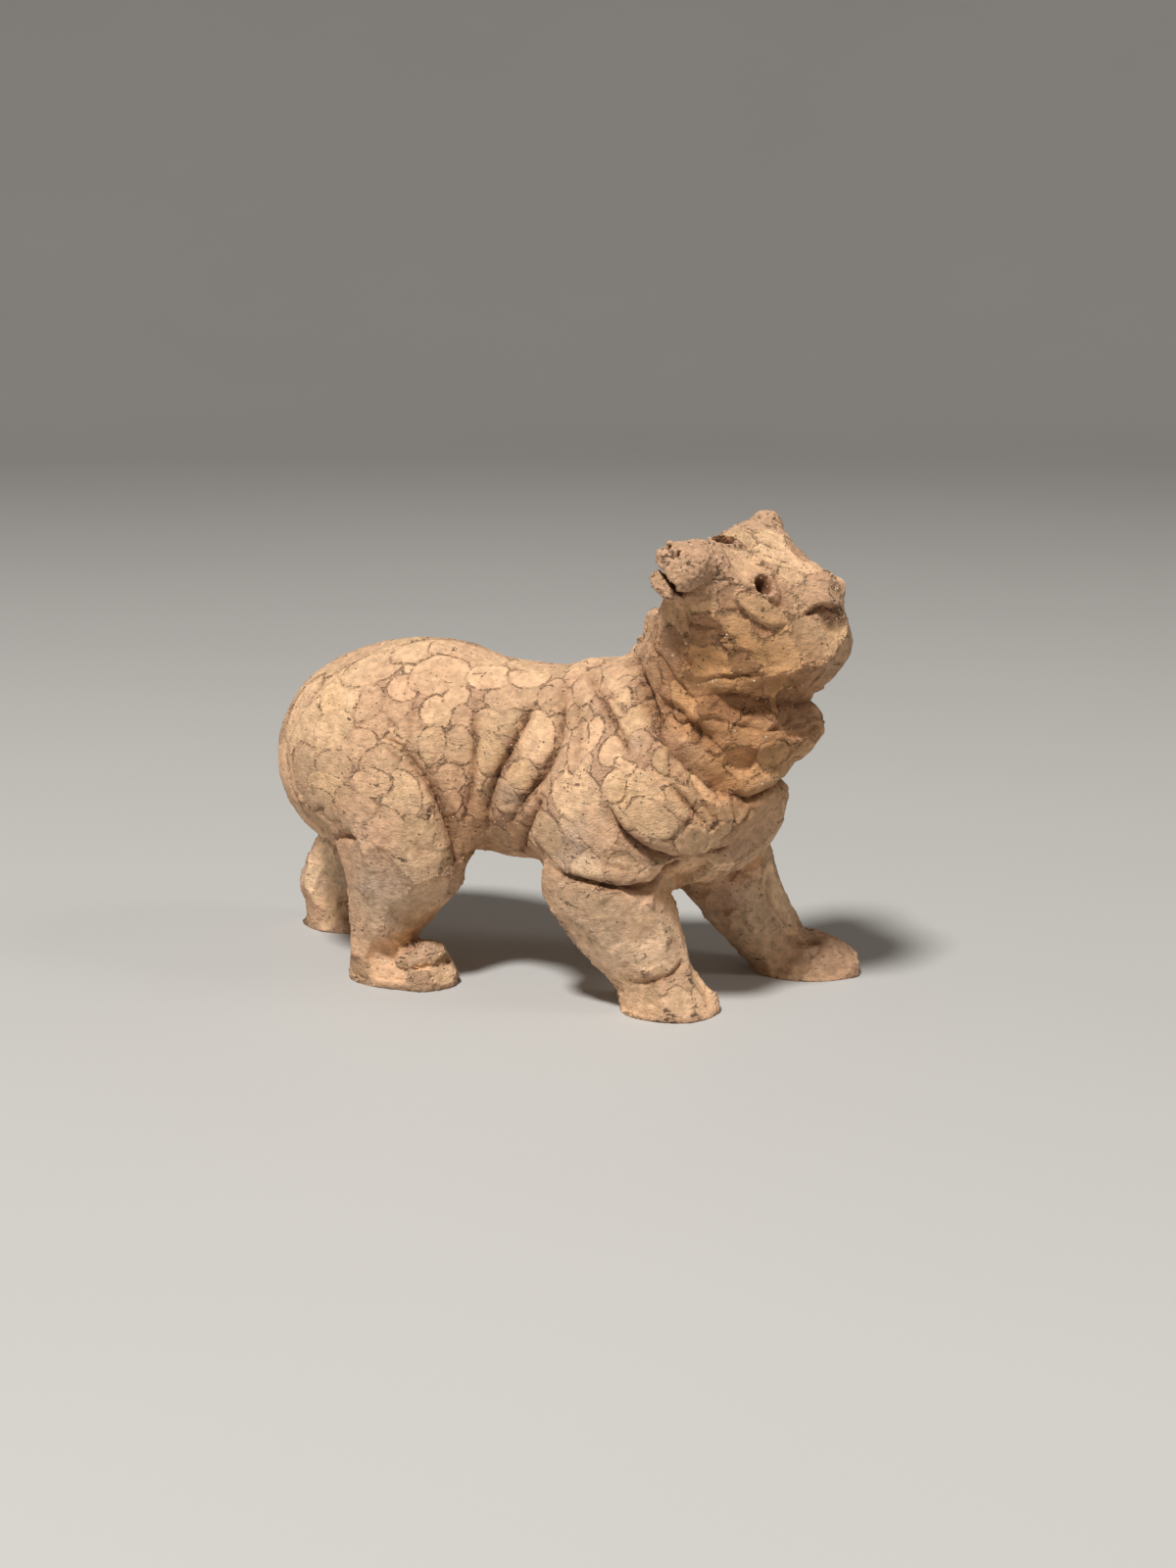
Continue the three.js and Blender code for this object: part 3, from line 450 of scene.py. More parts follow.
# Each line: width of the soft hollow, how much of the depth is the narrow line, marks (x, y, depth).
SEEN_FOLDS = {
    "thigh": (2.6, 0.45, [(392, 744, 0.3), (404, 758, 0.9), (417, 772, 1.5), (430, 787, 2.4),
                          (443, 809, 3.2),
                          (453, 828, 3.6), (461, 846, 3.6), (466, 864, 3.2), (468, 878, 2.2)]),
    "hip slash": (0.9, 0.8, [(387, 750, 0.3), (396, 754, 1.0), (406, 759, 1.1), (416, 763, 0.4)]),
    "hip slash above": (0.8, 0.8, [(394, 733, 0.2), (400, 739, 0.9), (406, 745, 0.3)]),
    "hip slash below": (0.9, 0.7, [(389, 760, 0.2), (400, 771, 0.7), (412, 779, 0.8), (426, 783, 0.4)]),
    "hip line": (1.0, 0.6, [(425, 706, 0.2), (421, 725, 0.7), (419, 742, 0.8), (417, 762, 0.5)]),
    "hip nick": (0.8, 0.7, [(421, 746, 0.2), (433, 744, 0.8), (449, 740, 0.3)]),
    "loin tear": (0.8, 0.7, [(450, 762, 0.2), (444, 775, 0.6), (439, 790, 0.2)]),
    "first flank fold": (1.6, 0.55, [(485, 716, 0.2), (485, 740, 1.1), (484, 765, 1.4), (481, 795, 1.4),
                                     (478, 820, 1.0), (475, 840, 0.5)]),
    "second flank fold": (2.2, 0.45, [(547, 718, 0.3), (535, 732, 1.6), (524, 752, 2.4), (513, 775, 2.4),
                                      (502, 797, 2.0), (497, 820, 1.8), (496, 845, 0.9)]),
    "third flank fold": (2.4, 0.45, [(582, 690, 0.3), (574, 710, 0.9), (571, 736, 1.5), (566, 760, 2.8),
                                     (553, 786, 3.4), (537, 804, 2.8), (527, 823, 1.8), (520, 840, 0.8)]),
    "flank crease": (0.9, 0.7, [(562, 783, 0.2), (549, 802, 0.8), (537, 819, 0.8), (524, 836, 0.3)]),
    "flank hook": (0.9, 0.6, [(507, 823, 0.2), (518, 822, 0.6), (527, 817, 0.3)]),
    "shoulder rear": (2.4, 0.4, [(555, 809, 0.4), (547, 820, 1.5), (542, 838, 2.3), (535, 856, 2.4),
                                 (532, 872, 1.6)]),
    "shoulder blade": (1.7, 0.6, [(600, 682, 0.3), (610, 705, 1.2), (624, 730, 1.8), (636, 755, 1.5),
                                  (642, 770, 0.4)]),
    "shoulder scratch": (0.8, 0.8, [(613, 694, 0.2), (623, 710, 0.8), (631, 722, 0.6), (640, 742, 0.3)]),
    "withers line": (1.2, 0.5, [(592, 700, 0.2), (588, 724, 0.7), (590, 752, 0.6), (588, 780, 0.2)]),
    "collar": (2.6, 0.4, [(646, 668, 1.4), (652, 692, 2.4), (659, 714, 3.0), (665, 736, 3.2),
                          (676, 753, 3.2),
                          (694, 767, 3.0), (710, 780, 3.0), (726, 791, 3.0), (740, 803, 2.6), (753, 812, 2.4),
                          (764, 820, 2.2)]),
    "bib crease": (2.0, 0.5, [(764, 820, 2.2), (780, 811, 2.6), (796, 800, 2.6), (808, 789, 2.0)]),
    "neck channel": (1.9, 0.25, [(672, 712, 0.6), (690, 729, 2.0), (708, 745, 2.1), (724, 757, 1.2),
                                 (733, 764, 0.3)]),
    "neck strand": (1.1, 0.5, [(664, 640, 0.2), (668, 664, 0.8), (682, 688, 1.0), (696, 708, 0.9),
                               (712, 722, 0.3)]),
    "throat strand": (1.0, 0.5, [(674, 604, 0.4), (686, 618, 0.9), (699, 638, 1.1), (716, 645, 0.9),
                                 (733, 641, 0.3)]),
    "muzzle foot": (1.2, 0.6, [(686, 603, 0.6), (700, 609, 1.2), (713, 604, 1.0), (722, 592, 0.4)]),
    "ruff fold": (2.2, 0.4, [(703, 714, 0.5), (733, 712, 1.6), (757, 713, 2.0), (780, 718, 1.8),
                             (808, 717, 1.3), (838, 715, 0.9)]),
    "ruff tear": (1.0, 0.6, [(716, 696, 0.3), (740, 691, 0.9), (768, 692, 0.9), (781, 688, 0.3)]),
    "nape tear": (1.0, 0.6, [(803, 712, 0.2), (816, 702, 0.8), (829, 693, 0.3)]),
    "roll tear": (1.0, 0.6, [(720, 736, 0.3), (742, 738, 0.8), (764, 743, 0.7), (779, 746, 0.2)]),
    "under lobe": (2.4, 0.5, [(618, 815, 0.4), (628, 838, 1.3), (644, 856, 2.2), (661, 868, 3.2),
                              (682, 876, 3.8), (702, 877, 3.4), (720, 871, 2.4), (735, 873, 1.6),
                              (752, 868, 0.5)]),
    "lobe split": (1.4, 0.6, [(683, 800, 0.4), (695, 811, 1.5), (707, 826, 1.4), (717, 842, 0.8),
                              (728, 845, 0.3)]),
    "lobe loop": (1.1, 0.6, [(697, 791, 0.3), (711, 808, 1.0), (722, 824, 1.2), (731, 840, 1.0),
                             (732, 852, 0.4)]),
    "lobe tear": (1.0, 0.7, [(716, 797, 0.3), (707, 831, 0.3), (702, 840, 0.9), (696, 850, 0.5)]),
    "elbow fold": (2.2, 0.5, [(562, 886, 0.4), (579, 894, 1.5), (600, 899, 2.0), (622, 904, 2.4),
                              (642, 907, 2.6), (663, 904, 2.8), (682, 897, 2.6), (694, 890, 1.8)]),
    "elbow tear": (0.9, 0.8, [(610, 876, 0.2), (628, 887, 0.6), (640, 888, 0.3)]),
    "ear foot": (1.2, 0.7, [(823, 626, 0.8), (830, 621, 1.9), (840, 618, 2.2), (850, 620, 2.1),
                            (858, 625, 1.0)]),
    "far ear foot": (1.0, 0.7, [(786, 535, 0.3), (793, 539, 1.2), (800, 543, 0.8)]),
    "wrist": (1.3, 0.4, [(640, 1003, 0.3), (662, 1004, 1.1), (684, 998, 1.3), (698, 984, 1.1)]),
    "paw step": (1.1, 0.5, [(702, 996, 0.2), (716, 1008, 0.8), (727, 1016, 0.8), (728, 1026, 0.4)]),
    "rump step": (1.1, 0.5, [(341, 857, 0.3), (350, 853, 1.5), (362, 856, 0.5)]),
    "chest line": (1.0, 0.5, [(738, 862, 0.2), (756, 846, 0.7), (768, 830, 0.9), (772, 823, 0.5)]),
    "far arm line": (1.1, 0.5, [(716, 893, 0.3), (738, 890, 0.9), (760, 893, 0.4)]),
    "far arm fold": (1.2, 0.4, [(790, 893, 0.4), (783, 905, 1.0), (788, 925, 0.9), (806, 945, 0.4)]),
    "far wrist": (1.3, 0.4, [(806, 958, 0.3), (822, 962, 1.0), (838, 955, 1.1), (846, 950, 0.6)]),
    "nape gap": (1.2, 0.5, [(650, 630, 0.6), (657, 640, 1.0), (655, 651, 1.0), (646, 660, 0.8)]),
}
MIRRORED = {"thigh": -21, "hip slash": -20, "hip line": -18, "first flank fold": -12, "second flank fold": -8,
            "third flank fold": -4, "shoulder rear": 2, "shoulder blade": 2, "collar": 3, "under lobe": 4,
            "elbow fold": 5, "lobe split": 4, "withers line": -2}

PLAINER = 0.8
folds = []
for name, (width, narrow, marks) in SEEN_FOLDS.items():
    marks = np.array(marks, float)
    chain, depths = chain_through(seen(marks[:, :2]), marks[:, 2])
    folds.append((chain, depths, width, narrow))
    if name in MIRRORED:
        other = chain * (1, -1, 1) + (MIRRORED[name], 0, 0)
        folds.append((*chain_through(other[::3], depths[::3] * PLAINER), width, narrow))
print(len(folds), "folds,", sum(len(f[0]) for f in folds), "mm of them")


# %% Press the folds into the skin
def eased(share):
    """A share from 0 to 1 that leaves 0 and reaches 1 softly."""
    share = np.clip(share, 0, 1)
    return share * share * (3 - 2 * share)


def noise_table(seed):
    """Random values from -1 to 1 on a lattice that repeats."""
    return np.random.default_rng(seed).random((32, 32, 32), np.float32) * 2 - 1


def lumpy(points, size, seed):
    """Smooth random values from -1 to 1, with lumps of about this size."""
    table, spot = noise_table(seed), points / size + 1000
    cell = np.floor(spot).astype(int)
    part = eased(spot - cell)
    total = np.zeros(len(points))
    for corner in np.ndindex(2, 2, 2):
        share = np.prod(np.where(corner, part, 1 - part), 1)
        total += share * table[tuple(((cell + corner) % 32).T)]
    return total


def to_chain(points, chain, depths, reach):
    """For the points within reach: which they are, how far from the chain, and its depth there."""
    box = ((points > chain.min(0) - reach) & (points < chain.max(0) + reach)).all(1)
    which = np.nonzero(box)[0]
    near, depth = np.full(len(which), np.inf), np.zeros(len(which))
    for i, leg in enumerate(np.diff(chain, axis=0)):
        off = points[which] - chain[i]
        t = np.clip(off @ leg / (leg @ leg), 0, 1)
        gap = np.linalg.norm(off - t[:, None] * leg, axis=1)
        closer = gap < near
        near = np.where(closer, gap, near)
        depth = np.where(closer, depths[i] + (depths[i + 1] - depths[i]) * t, depth)
    return which, near, depth


# In mm but for PRESS and SHADE_BREADTH: the narrow line's width and how far it wanders, the depth at which
# the painted shade in a fold is full, and how much of the fold's width the painted shade covers
NARROW, WANDER, SHADE_FULL_DEPTH = 0.56, 0.35, 1.6
PRESS, SHADE_BREADTH = 1.28, 0.8
wander = lumpy(skin, 2.2, 3) * WANDER
fold_height = np.zeros(len(skin))
fold_shade = np.zeros(len(skin))
for chain, depths, width, narrow in folds:
    which, gap, depth = to_chain(skin, chain, depths * PRESS, 4 * width)
    crooked = np.abs(gap + wander[which] * np.minimum(gap, 1))
    soft = (1 - narrow) * np.exp(-((gap / width) ** 2))
    stroke = -depth * (soft + narrow * np.exp(-((crooked / NARROW) ** 2)))
    before = fold_height[which]
    fold_height[which] = (np.minimum(before, stroke) + (before + stroke)) / 2
    # Painted shade: the deeper the fold, the darker along its middle.
    shaded_here = np.minimum(depth / SHADE_FULL_DEPTH, 1) * np.exp(-((gap / (width * SHADE_BREADTH)) ** 2))
    fold_shade[which] = np.maximum(fold_shade[which], shaded_here)
print("deepest fold", round(float(-fold_height.min()), 2), "mm")

# %% [markdown]
# ## Patches
# Flat patches cover the figure, each the mark of one press or one stroke of the knife. On the rump and
# the flank they are pads with a thin, broken outline, laid over each other like scales. On the cheek, the
# neck and the legs they are cuts: planes that lean a little, each its own way, and meet in a crisp ridge.
# The ones in the picture are listed with their middle, half sizes and lean in pixels, and the rest of the
# clay gets patches scattered evenly, with a fixed seed, so that the lesson gives the same bear every time.

# %% The patches in the picture
# x, y, half width, half height, lean in degrees, tone from -1 (pink) to 1 (yellow); the last pad is the
# lens-shaped plate under the near eye
PADS = [
    (327, 693, 14, 14, 0, 0.1), (355, 671, 17, 10, -20, 0.2), (302, 728, 8, 17, 10, 0.1),
    (292, 783, 8, 20, 0, -0.1), (294, 812, 9, 13, 0, 0.1), (311, 836, 12, 15, 0, 0.0),
    (402, 722, 13, 14, 0, -0.3), (412, 701, 14, 13, 0, -0.1), (378, 742, 14, 13, 0, -0.4),
    (372, 717, 16, 15, 0, 0.0), (345, 711, 18, 21, 10, 0.4), (380, 680, 20, 15, -15, 0.3),
    (312, 744, 12, 19, 12, 0.2), (339, 750, 17, 22, 0, 0.3), (366, 761, 14, 15, 0, -0.2),
    (435, 662, 27, 11, 0, 0.2), (480, 667, 21, 12, 8, 0.1), (449, 688, 28, 17, 0, 0.2),
    (447, 726, 15, 14, 0, 0.6), (466, 711, 12, 9, 10, 0.4), (472, 738, 9, 15, 0, 0.1),
    (498, 738, 13, 14, 0, 0.3), (523, 709, 24, 13, 0, 0.0), (523, 738, 12, 12, 0, 0.4),
    (500, 769, 12, 19, 8, 0.7), (468, 762, 14, 16, 0, 0.6), (441, 760, 11, 16, 0, 0.4),
    (545, 752, 17, 21, 25, 0.3), (532, 791, 12, 12, 0, 0.9), (513, 814, 13, 14, 0, 0.3),
    (315, 795, 13, 24, 0, 0.1), (341, 783, 16, 13, 0, -0.1), (335, 806, 18, 12, 0, 0.5),
    (386, 779, 18, 14, 20, -0.5), (411, 813, 17, 22, 10, 0.1), (423, 854, 15, 18, 0, 0.2),
    (392, 845, 16, 17, 0, -0.3), (337, 831, 15, 15, 0, 0.4), (362, 821, 17, 15, 0, -0.3),
    (378, 799, 18, 12, 0, -0.4), (433, 883, 14, 16, 0, 0.0), (500, 690, 19, 11, 10, -0.1),
    (540, 690, 17, 10, 15, -0.1), (562, 706, 12, 10, 20, -0.2), (552, 680, 14, 8, 12, 0.0),
    (460, 795, 12, 13, 0, 0.1), (487, 822, 9, 14, 0, -0.3), (458, 822, 10, 14, -20, -0.2),
    (675, 791, 15, 8, -28, 0.0), (683, 777, 15, 13, -20, 0.9), (691, 817, 15, 14, 0, 0.8),
    (654, 812, 22, 20, -25, 0.5), (666, 836, 22, 13, -15, 0.4), (650, 736, 11, 14, -25, 0.6),
    (632, 717, 10, 13, -20, 0.2), (628, 690, 14, 16, -15, 0.2), (599, 697, 11, 17, 0, 0.1),
    (605, 750, 8, 14, 0, 0.1), (623, 766, 10, 14, 0, 0.3), (638, 780, 9, 10, 0, 0.5),
    (626, 803, 10, 14, 0, 0.8), (649, 762, 12, 12, 0, -0.4), (587, 812, 20, 24, 0, 0.5),
    (590, 760, 8, 18, 5, 0.0), (719, 832, 7, 15, -28, 0.2), (715, 802, 11, 11, -20, 0.5),
    (706, 858, 14, 10, 0, 0.2), (610, 845, 18, 18, 0, -0.2), (558, 852, 12, 18, 0, 0.3),
    (806, 586, 9, 8, 10, 0.3), (791, 566, 15, 9, 10, 0.5), (820, 572, 13, 10, 20, 0.2),
    (780, 625, 25, 10, -32, 0.7),
]
CUTS = [
    (755, 649, 20, 19, 0, 0.7), (788, 662, 17, 18, 0, 0.4), (824, 647, 18, 22, 0, -0.1),
    (853, 652, 10, 22, 0, 0.4), (864, 664, 7, 18, 0, -0.1), (727, 653, 14, 14, 0, -0.4),
    (740, 671, 16, 10, 15, 0.6), (764, 679, 15, 11, 0, -0.4), (719, 626, 15, 13, -30, 0.7),
    (687, 652, 13, 30, 0, 0.5), (703, 694, 11, 17, -15, 0.9), (678, 688, 10, 19, -20, -0.6),
    (745, 702, 24, 8, 0, 0.2), (829, 704, 18, 11, 30, -0.5), (822, 731, 18, 10, 0, -0.8),
    (798, 672, 17, 9, 0, 0.2), (758, 725, 22, 9, 0, -0.7), (757, 546, 15, 9, 0, 0.3),
    (741, 573, 17, 15, 0, 0.2), (787, 826, 16, 13, -15, -0.3), (737, 797, 12, 9, 35, -0.1),
    (742, 775, 16, 16, 30, 0.3), (775, 752, 18, 12, 10, 0.2), (715, 752, 10, 16, -40, -0.2),
    (846, 690, 12, 12, 0, -0.3), (590, 925, 16, 22, -30, -0.2), (620, 945, 16, 24, -25, 0.0),
    (655, 935, 18, 24, 0, 0.1), (684, 940, 12, 26, 0, 0.2), (630, 985, 14, 20, 0, 0.1),
    (668, 980, 16, 16, 0, 0.3), (640, 917, 20, 9, 0, -0.2), (745, 915, 16, 16, 0, -0.4),
    (775, 930, 12, 20, -30, 0.0), (765, 955, 16, 12, -20, 0.1), (725, 905, 14, 12, 0, -0.4),
    (360, 890, 14, 22, 0, -0.4), (388, 905, 14, 24, 0, -0.5), (414, 925, 13, 18, 15, -0.1),
    (365, 940, 12, 22, 0, -0.2), (392, 960, 12, 14, 0, 0.1), (440, 905, 13, 18, 0, -0.2),
    (325, 890, 12, 22, 0, 0.6), (330, 925, 10, 16, 0, 0.3),
]

# %% [markdown]
# A patch is stored as a middle, the way it faces, two half axes on the skin and a tone. The half axes come
# from the picture too: places a little beside the middle are looked up on the clay and measured there, so
# a patch that turns away from the camera isn't squeezed.

# %% Put the patches on the skin
# The muzzle, the ears and the paws get no scattered patches: middle and radius in mm
LEFT_ROUND = [(on_head(24, 0, -5), 13.0), (on_head(-8, 17, 14), 9.0), (on_head(-8, -18, 15), 9.0)]
LEFT_ROUND += [(np.array(at), 12.0) for at in ((37, -17, 2), (62, 31, 2), (-38, -22, 2), (-81, 23, 2))]
# How many mm a pixel of the picture is on the clay: as a rule, at least and at most
PIXEL, PIXEL_LEAST, PIXEL_MOST = 0.27, 0.2, 0.5
# Pixels beside the middle where an axis is measured, and how much larger a patch is than it is seen
STEP_ASIDE, OVERLAP = 4, 1.26
chance = np.random.default_rng(12)


def patch_from_picture(x, y, half_wide, half_tall, lean, tone):
    """A patch's middle, normal, two half axes in mm and its tone."""
    c, s = np.cos(np.radians(lean)) * STEP_ASIDE, np.sin(np.radians(lean)) * STEP_ASIDE
    places = seen([(x, y), (x + c, y - s), (x + s, y + c)])
    normal = leaning_at(places[0])
    axes = []
    for place, half in zip(places[1:], (half_wide, half_tall)):
        axis = place - places[0]
        axis -= normal * (axis @ normal)
        length = np.clip(np.linalg.norm(axis) / STEP_ASIDE, PIXEL_LEAST, PIXEL_MOST) * half * OVERLAP
        axes.append(axis / np.linalg.norm(axis) * length)
    return places[0], normal, axes[0], axes[1], tone


def scattered(taken, pitch, tries=9000):
    """Vertices spread evenly and at random, away from the places taken and from what is left round."""
    kept = list(taken)
    added = []
    for i in chance.integers(0, len(skin), tries):
        place = skin[i]
        if place[2] < SOLE_LEVEL + 2 or any(np.linalg.norm(place - at) < r for at, r in LEFT_ROUND):
            continue
        if np.min(np.linalg.norm(np.array(kept) - place, axis=1)) > pitch:
            kept.append(place)
            added.append(i)
    return added


# In mm: how far apart the scattered patches are, and where they are cuts, on the legs and on the neck
APART, LEGS_TOP, NECK_FOOT, NECK_BACK = 6.6, 34, 84, 25
pads = [patch_from_picture(*p) for p in PADS]
cuts = [patch_from_picture(*p) for p in CUTS]
more_pads, more_cuts = [], []
for i in scattered([p[0] for p in pads + cuts], APART):
    at, normal = skin[i], leaning_at(skin[i])
    side = np.cross(normal, chance.normal(size=3))
    side /= np.linalg.norm(side)
    half = chance.uniform(4.4, 6.2)
    patch = (at, normal, side * half, np.cross(normal, side) * half * chance.uniform(0.72, 1.0),
             chance.uniform(-0.4, 0.5))
    of_cuts = at[2] < LEGS_TOP or (at[2] > NECK_FOOT and at[0] > NECK_BACK)
    (more_cuts if of_cuts else more_pads).append(patch)
# The scattered ones come first, so that those of the picture lie over them.
pads, cuts = more_pads[::-1] + pads, more_cuts[::-1] + cuts
print(len(pads), "pads and", len(cuts), "cuts")


# %% Where the patches lie
def around(places, full, none):
    """For each vertex, 1 up to `full` mm from the nearest of the places and 0 from `none` mm on."""
    gap = np.min([np.linalg.norm(skin - place, axis=1) for place in places], 0)
    return np.clip((none - gap) / (none - full), 0, 1)


def on_patch(patch, reach):
    """For the skin near a patch: which vertices, how far out (1 at the edge), the patch's half size and how
    high each vertex lies over its plane."""
    at, normal, first, second, _ = patch
    size = max(np.linalg.norm(first), np.linalg.norm(second))
    box = (np.abs(skin - at) < size * reach).all(1)
    which = np.nonzero(box)[0]
    off = skin[which] - at
    alike = outward[which] @ normal
    u, v = off @ first / (first @ first), off @ second / (second @ second)
    out = np.sqrt(u * u + v * v) + 0.1 * ragged[which] + np.maximum(0.5 - alike, 0) * 4
    keep = out < reach
    return which[keep], out[keep], np.sqrt(np.linalg.norm(first) * np.linalg.norm(second)), off[keep] @ normal


ragged = lumpy(skin, 5.0, 5) + 0.6 * lumpy(skin, 2.0, 6)
print("the first pad reaches", len(on_patch(pads[0], 1.0)[0]), "vertices")

# %% Press the pads
flat_height = np.zeros(len(skin))
edge_gap = np.full(len(skin), 9.0)
tone = np.zeros(len(skin))
padded = np.zeros(len(skin))
lightness = np.zeros(len(skin))
# How high a pad's edge stands and how wide it is in mm, how deep in the bulge its flat lies, and how flat
STANDS, RIM, SUNK, FLATNESS = 0.16, 1.1, 0.62, 0.8
for patch in pads:
    which, out, size, above = on_patch(patch, 2.2)
    inner = out < 1
    rim = np.exp(-((np.maximum(1 - out, 0) * size / RIM) ** 2))
    band = (out > 0.75) & (out < 0.95)
    level = np.clip(-np.median(above[band]) if band.any() else 0.2, 0.0, 1.2)
    flat = np.clip(-above - level * SUNK, -1.3, 0.5) * FLATNESS
    ease = eased((1.02 - out) / 0.3)
    raised = flat * ease + STANDS * rim * (1 - ease)
    flat_height[which] = np.where(inner, raised, flat_height[which])
    edge_gap[which] = np.where(inner, (1 - out) * size, np.minimum(edge_gap[which], (out - 1) * size))
    tone[which] = np.where(inner, patch[4], tone[which])
    padded[which] = np.where(inner, 1.0, padded[which])
    lightness[which] = np.where(inner, chance.uniform(-1, 1), lightness[which])
print("pads are pressed in by up to", round(float(-flat_height.min()), 2), "mm")

# %% Pare the cuts
# A cut is a plane. The deepest one at a vertex counts, and where the next deepest is as deep, they meet.
# The scattered ones lean less. Past its edge the knife lifts, and no cut is deeper than so many mm.
KNIFE_LEAN, LESSER_LEAN = 1.5, 0.25
KNIFE_LIFTS, DEEPEST_CUT = 3.0, 2.4
cut_height = np.zeros(len(skin))
next_height = np.zeros(len(skin))
cut_by = np.full(len(skin), -1)
for n, patch in enumerate(cuts):
    at, _, first, second, _ = patch
    which, out, size, above = on_patch(patch, 1.9)
    share = 1.0 if n >= len(more_cuts) else LESSER_LEAN
    lean = chance.uniform(-KNIFE_LEAN, KNIFE_LEAN, 2) / size * share
    off = skin[which] - at
    leant = above + lean[0] * (off @ first) / size + lean[1] * (off @ second) / size
    band = (out > 0.8) & (out < 1.1)
    level = np.clip(-np.median(leant[band]) if band.any() else 0.3, 0.05, 1.6) + 0.15
    drop = np.maximum(-leant - level + np.maximum(out - 1.0, 0) * KNIFE_LIFTS, -DEEPEST_CUT)
    deeper = drop < cut_height[which]
    next_height[which] = np.where(deeper, cut_height[which], np.minimum(next_height[which], drop))
    cut_height[which] = np.where(deeper, drop, cut_height[which])
    cut_by[which] = np.where(deeper, n, cut_by[which])
print("cuts go down to", round(float(-cut_height.min()), 2), "mm")

# %% What the knife spared, and what the patches tell the colours
# The muzzle, the eyes, the ears and the plate under the near eye have no cuts.
MUZZLE = [on_head(27, 0.5, -2)]
EYES = [on_head(*NEAR_EYE), on_head(*FAR_EYE)]
EARS = [on_head(-7.5, 12.6, 13.6), on_head(*FAR_EAR_TIP)]
on_muzzle = around(MUZZLE, 6, 11)
spared = np.max([around(MUZZLE, 10, 14), around(EYES, 3, 7), around(EARS, 8, 11)], 0)
which, out, _, _ = on_patch(pads[-1], 1.3)
spared[which] = np.maximum(spared[which], np.clip((1.14 - out) / 0.12, 0, 1))
cut_height *= 1 - spared
next_height *= 1 - spared
flat_height *= 1 - around(EYES, 3.5, 6.5)

# Where an outline or a ridge is, and how light each patch is
RIDGE_SLOPE = 0.8
LIGHT_BY_CHANCE, LIGHT_BY_TONE, NECK_DARKER, NECK_LEVEL = 0.6, 2.0, 0.9, 70
is_cut = (cut_by >= 0) & (spared < 0.5)
tone = np.where(is_cut, np.array([c[4] for c in cuts])[cut_by], tone)
padded = np.where(is_cut & (cut_height < -0.05), 1.0, padded)
edge_gap = np.where(is_cut, (next_height - cut_height) / RIDGE_SLOPE, edge_gap)
light_of = chance.uniform(-LIGHT_BY_CHANCE, LIGHT_BY_CHANCE, len(cuts)) + np.array([
    LIGHT_BY_TONE * c[4] - NECK_DARKER * (c[0][2] > NECK_LEVEL) for c in cuts
])
lightness = np.where(is_cut, light_of[cut_by], lightness)
edge_gap += 0.6 * np.clip((48 - skin[:, 2]) / 14, 0, 1)
print("patches cover", round(float(padded.mean()) * 100), "% of the skin")

# %% [markdown]
# ## Hollows and ledges
# Fingers left soft hollows. Some forms lie over the next one with a sharp edge: the plate under the near
# eye, the ear, the lobe over the elbow, the thigh, the collar. Such a ledge is a line too, with the clay
# raised on one side of it only, so that it drops off at the line.

# %% Hollows
# x, y, radius across and down in pixels, depth in mm
HOLLOWS = [
    (687, 620, 3, 3, 0.9), (722, 627, 3, 3, 0.9), (796, 701, 20, 7, 1.9), (757, 725, 26, 8, 2.2),
    (837, 722, 13, 8, 1.4), (736, 797, 13, 7, 1.5), (430, 868, 16, 8, 1.0), (848, 633, 10, 9, 1.6),
    (766, 606, 6, 6, 0.8), (418, 966, 9, 7, 1.2),
]
# How steep a hollow is, how far out it reaches, and how many mm deep in an opening the painted shade is full
BOWL, BOWL_REACH = 1.8, 1.6
DEEP_IN = 1.6

hollow_height = np.zeros(len(skin))
for x, y, wide, tall, depth in HOLLOWS:
    which, out, _, _ = on_patch(patch_from_picture(x, y, wide, tall, 0, 0), BOWL_REACH)
    bowl = np.exp(-BOWL * out ** 2) - np.exp(-BOWL * BOWL_REACH ** 2)
    hollow_height[which] = np.minimum(hollow_height[which], -depth * bowl)
# How deep in an opening each vertex lies: it fades the carving out there and paints shade into the eyes,
# nostrils and mouth.
deep_in_opening = np.clip(-figure(skin) / DEEP_IN, 0, 1)

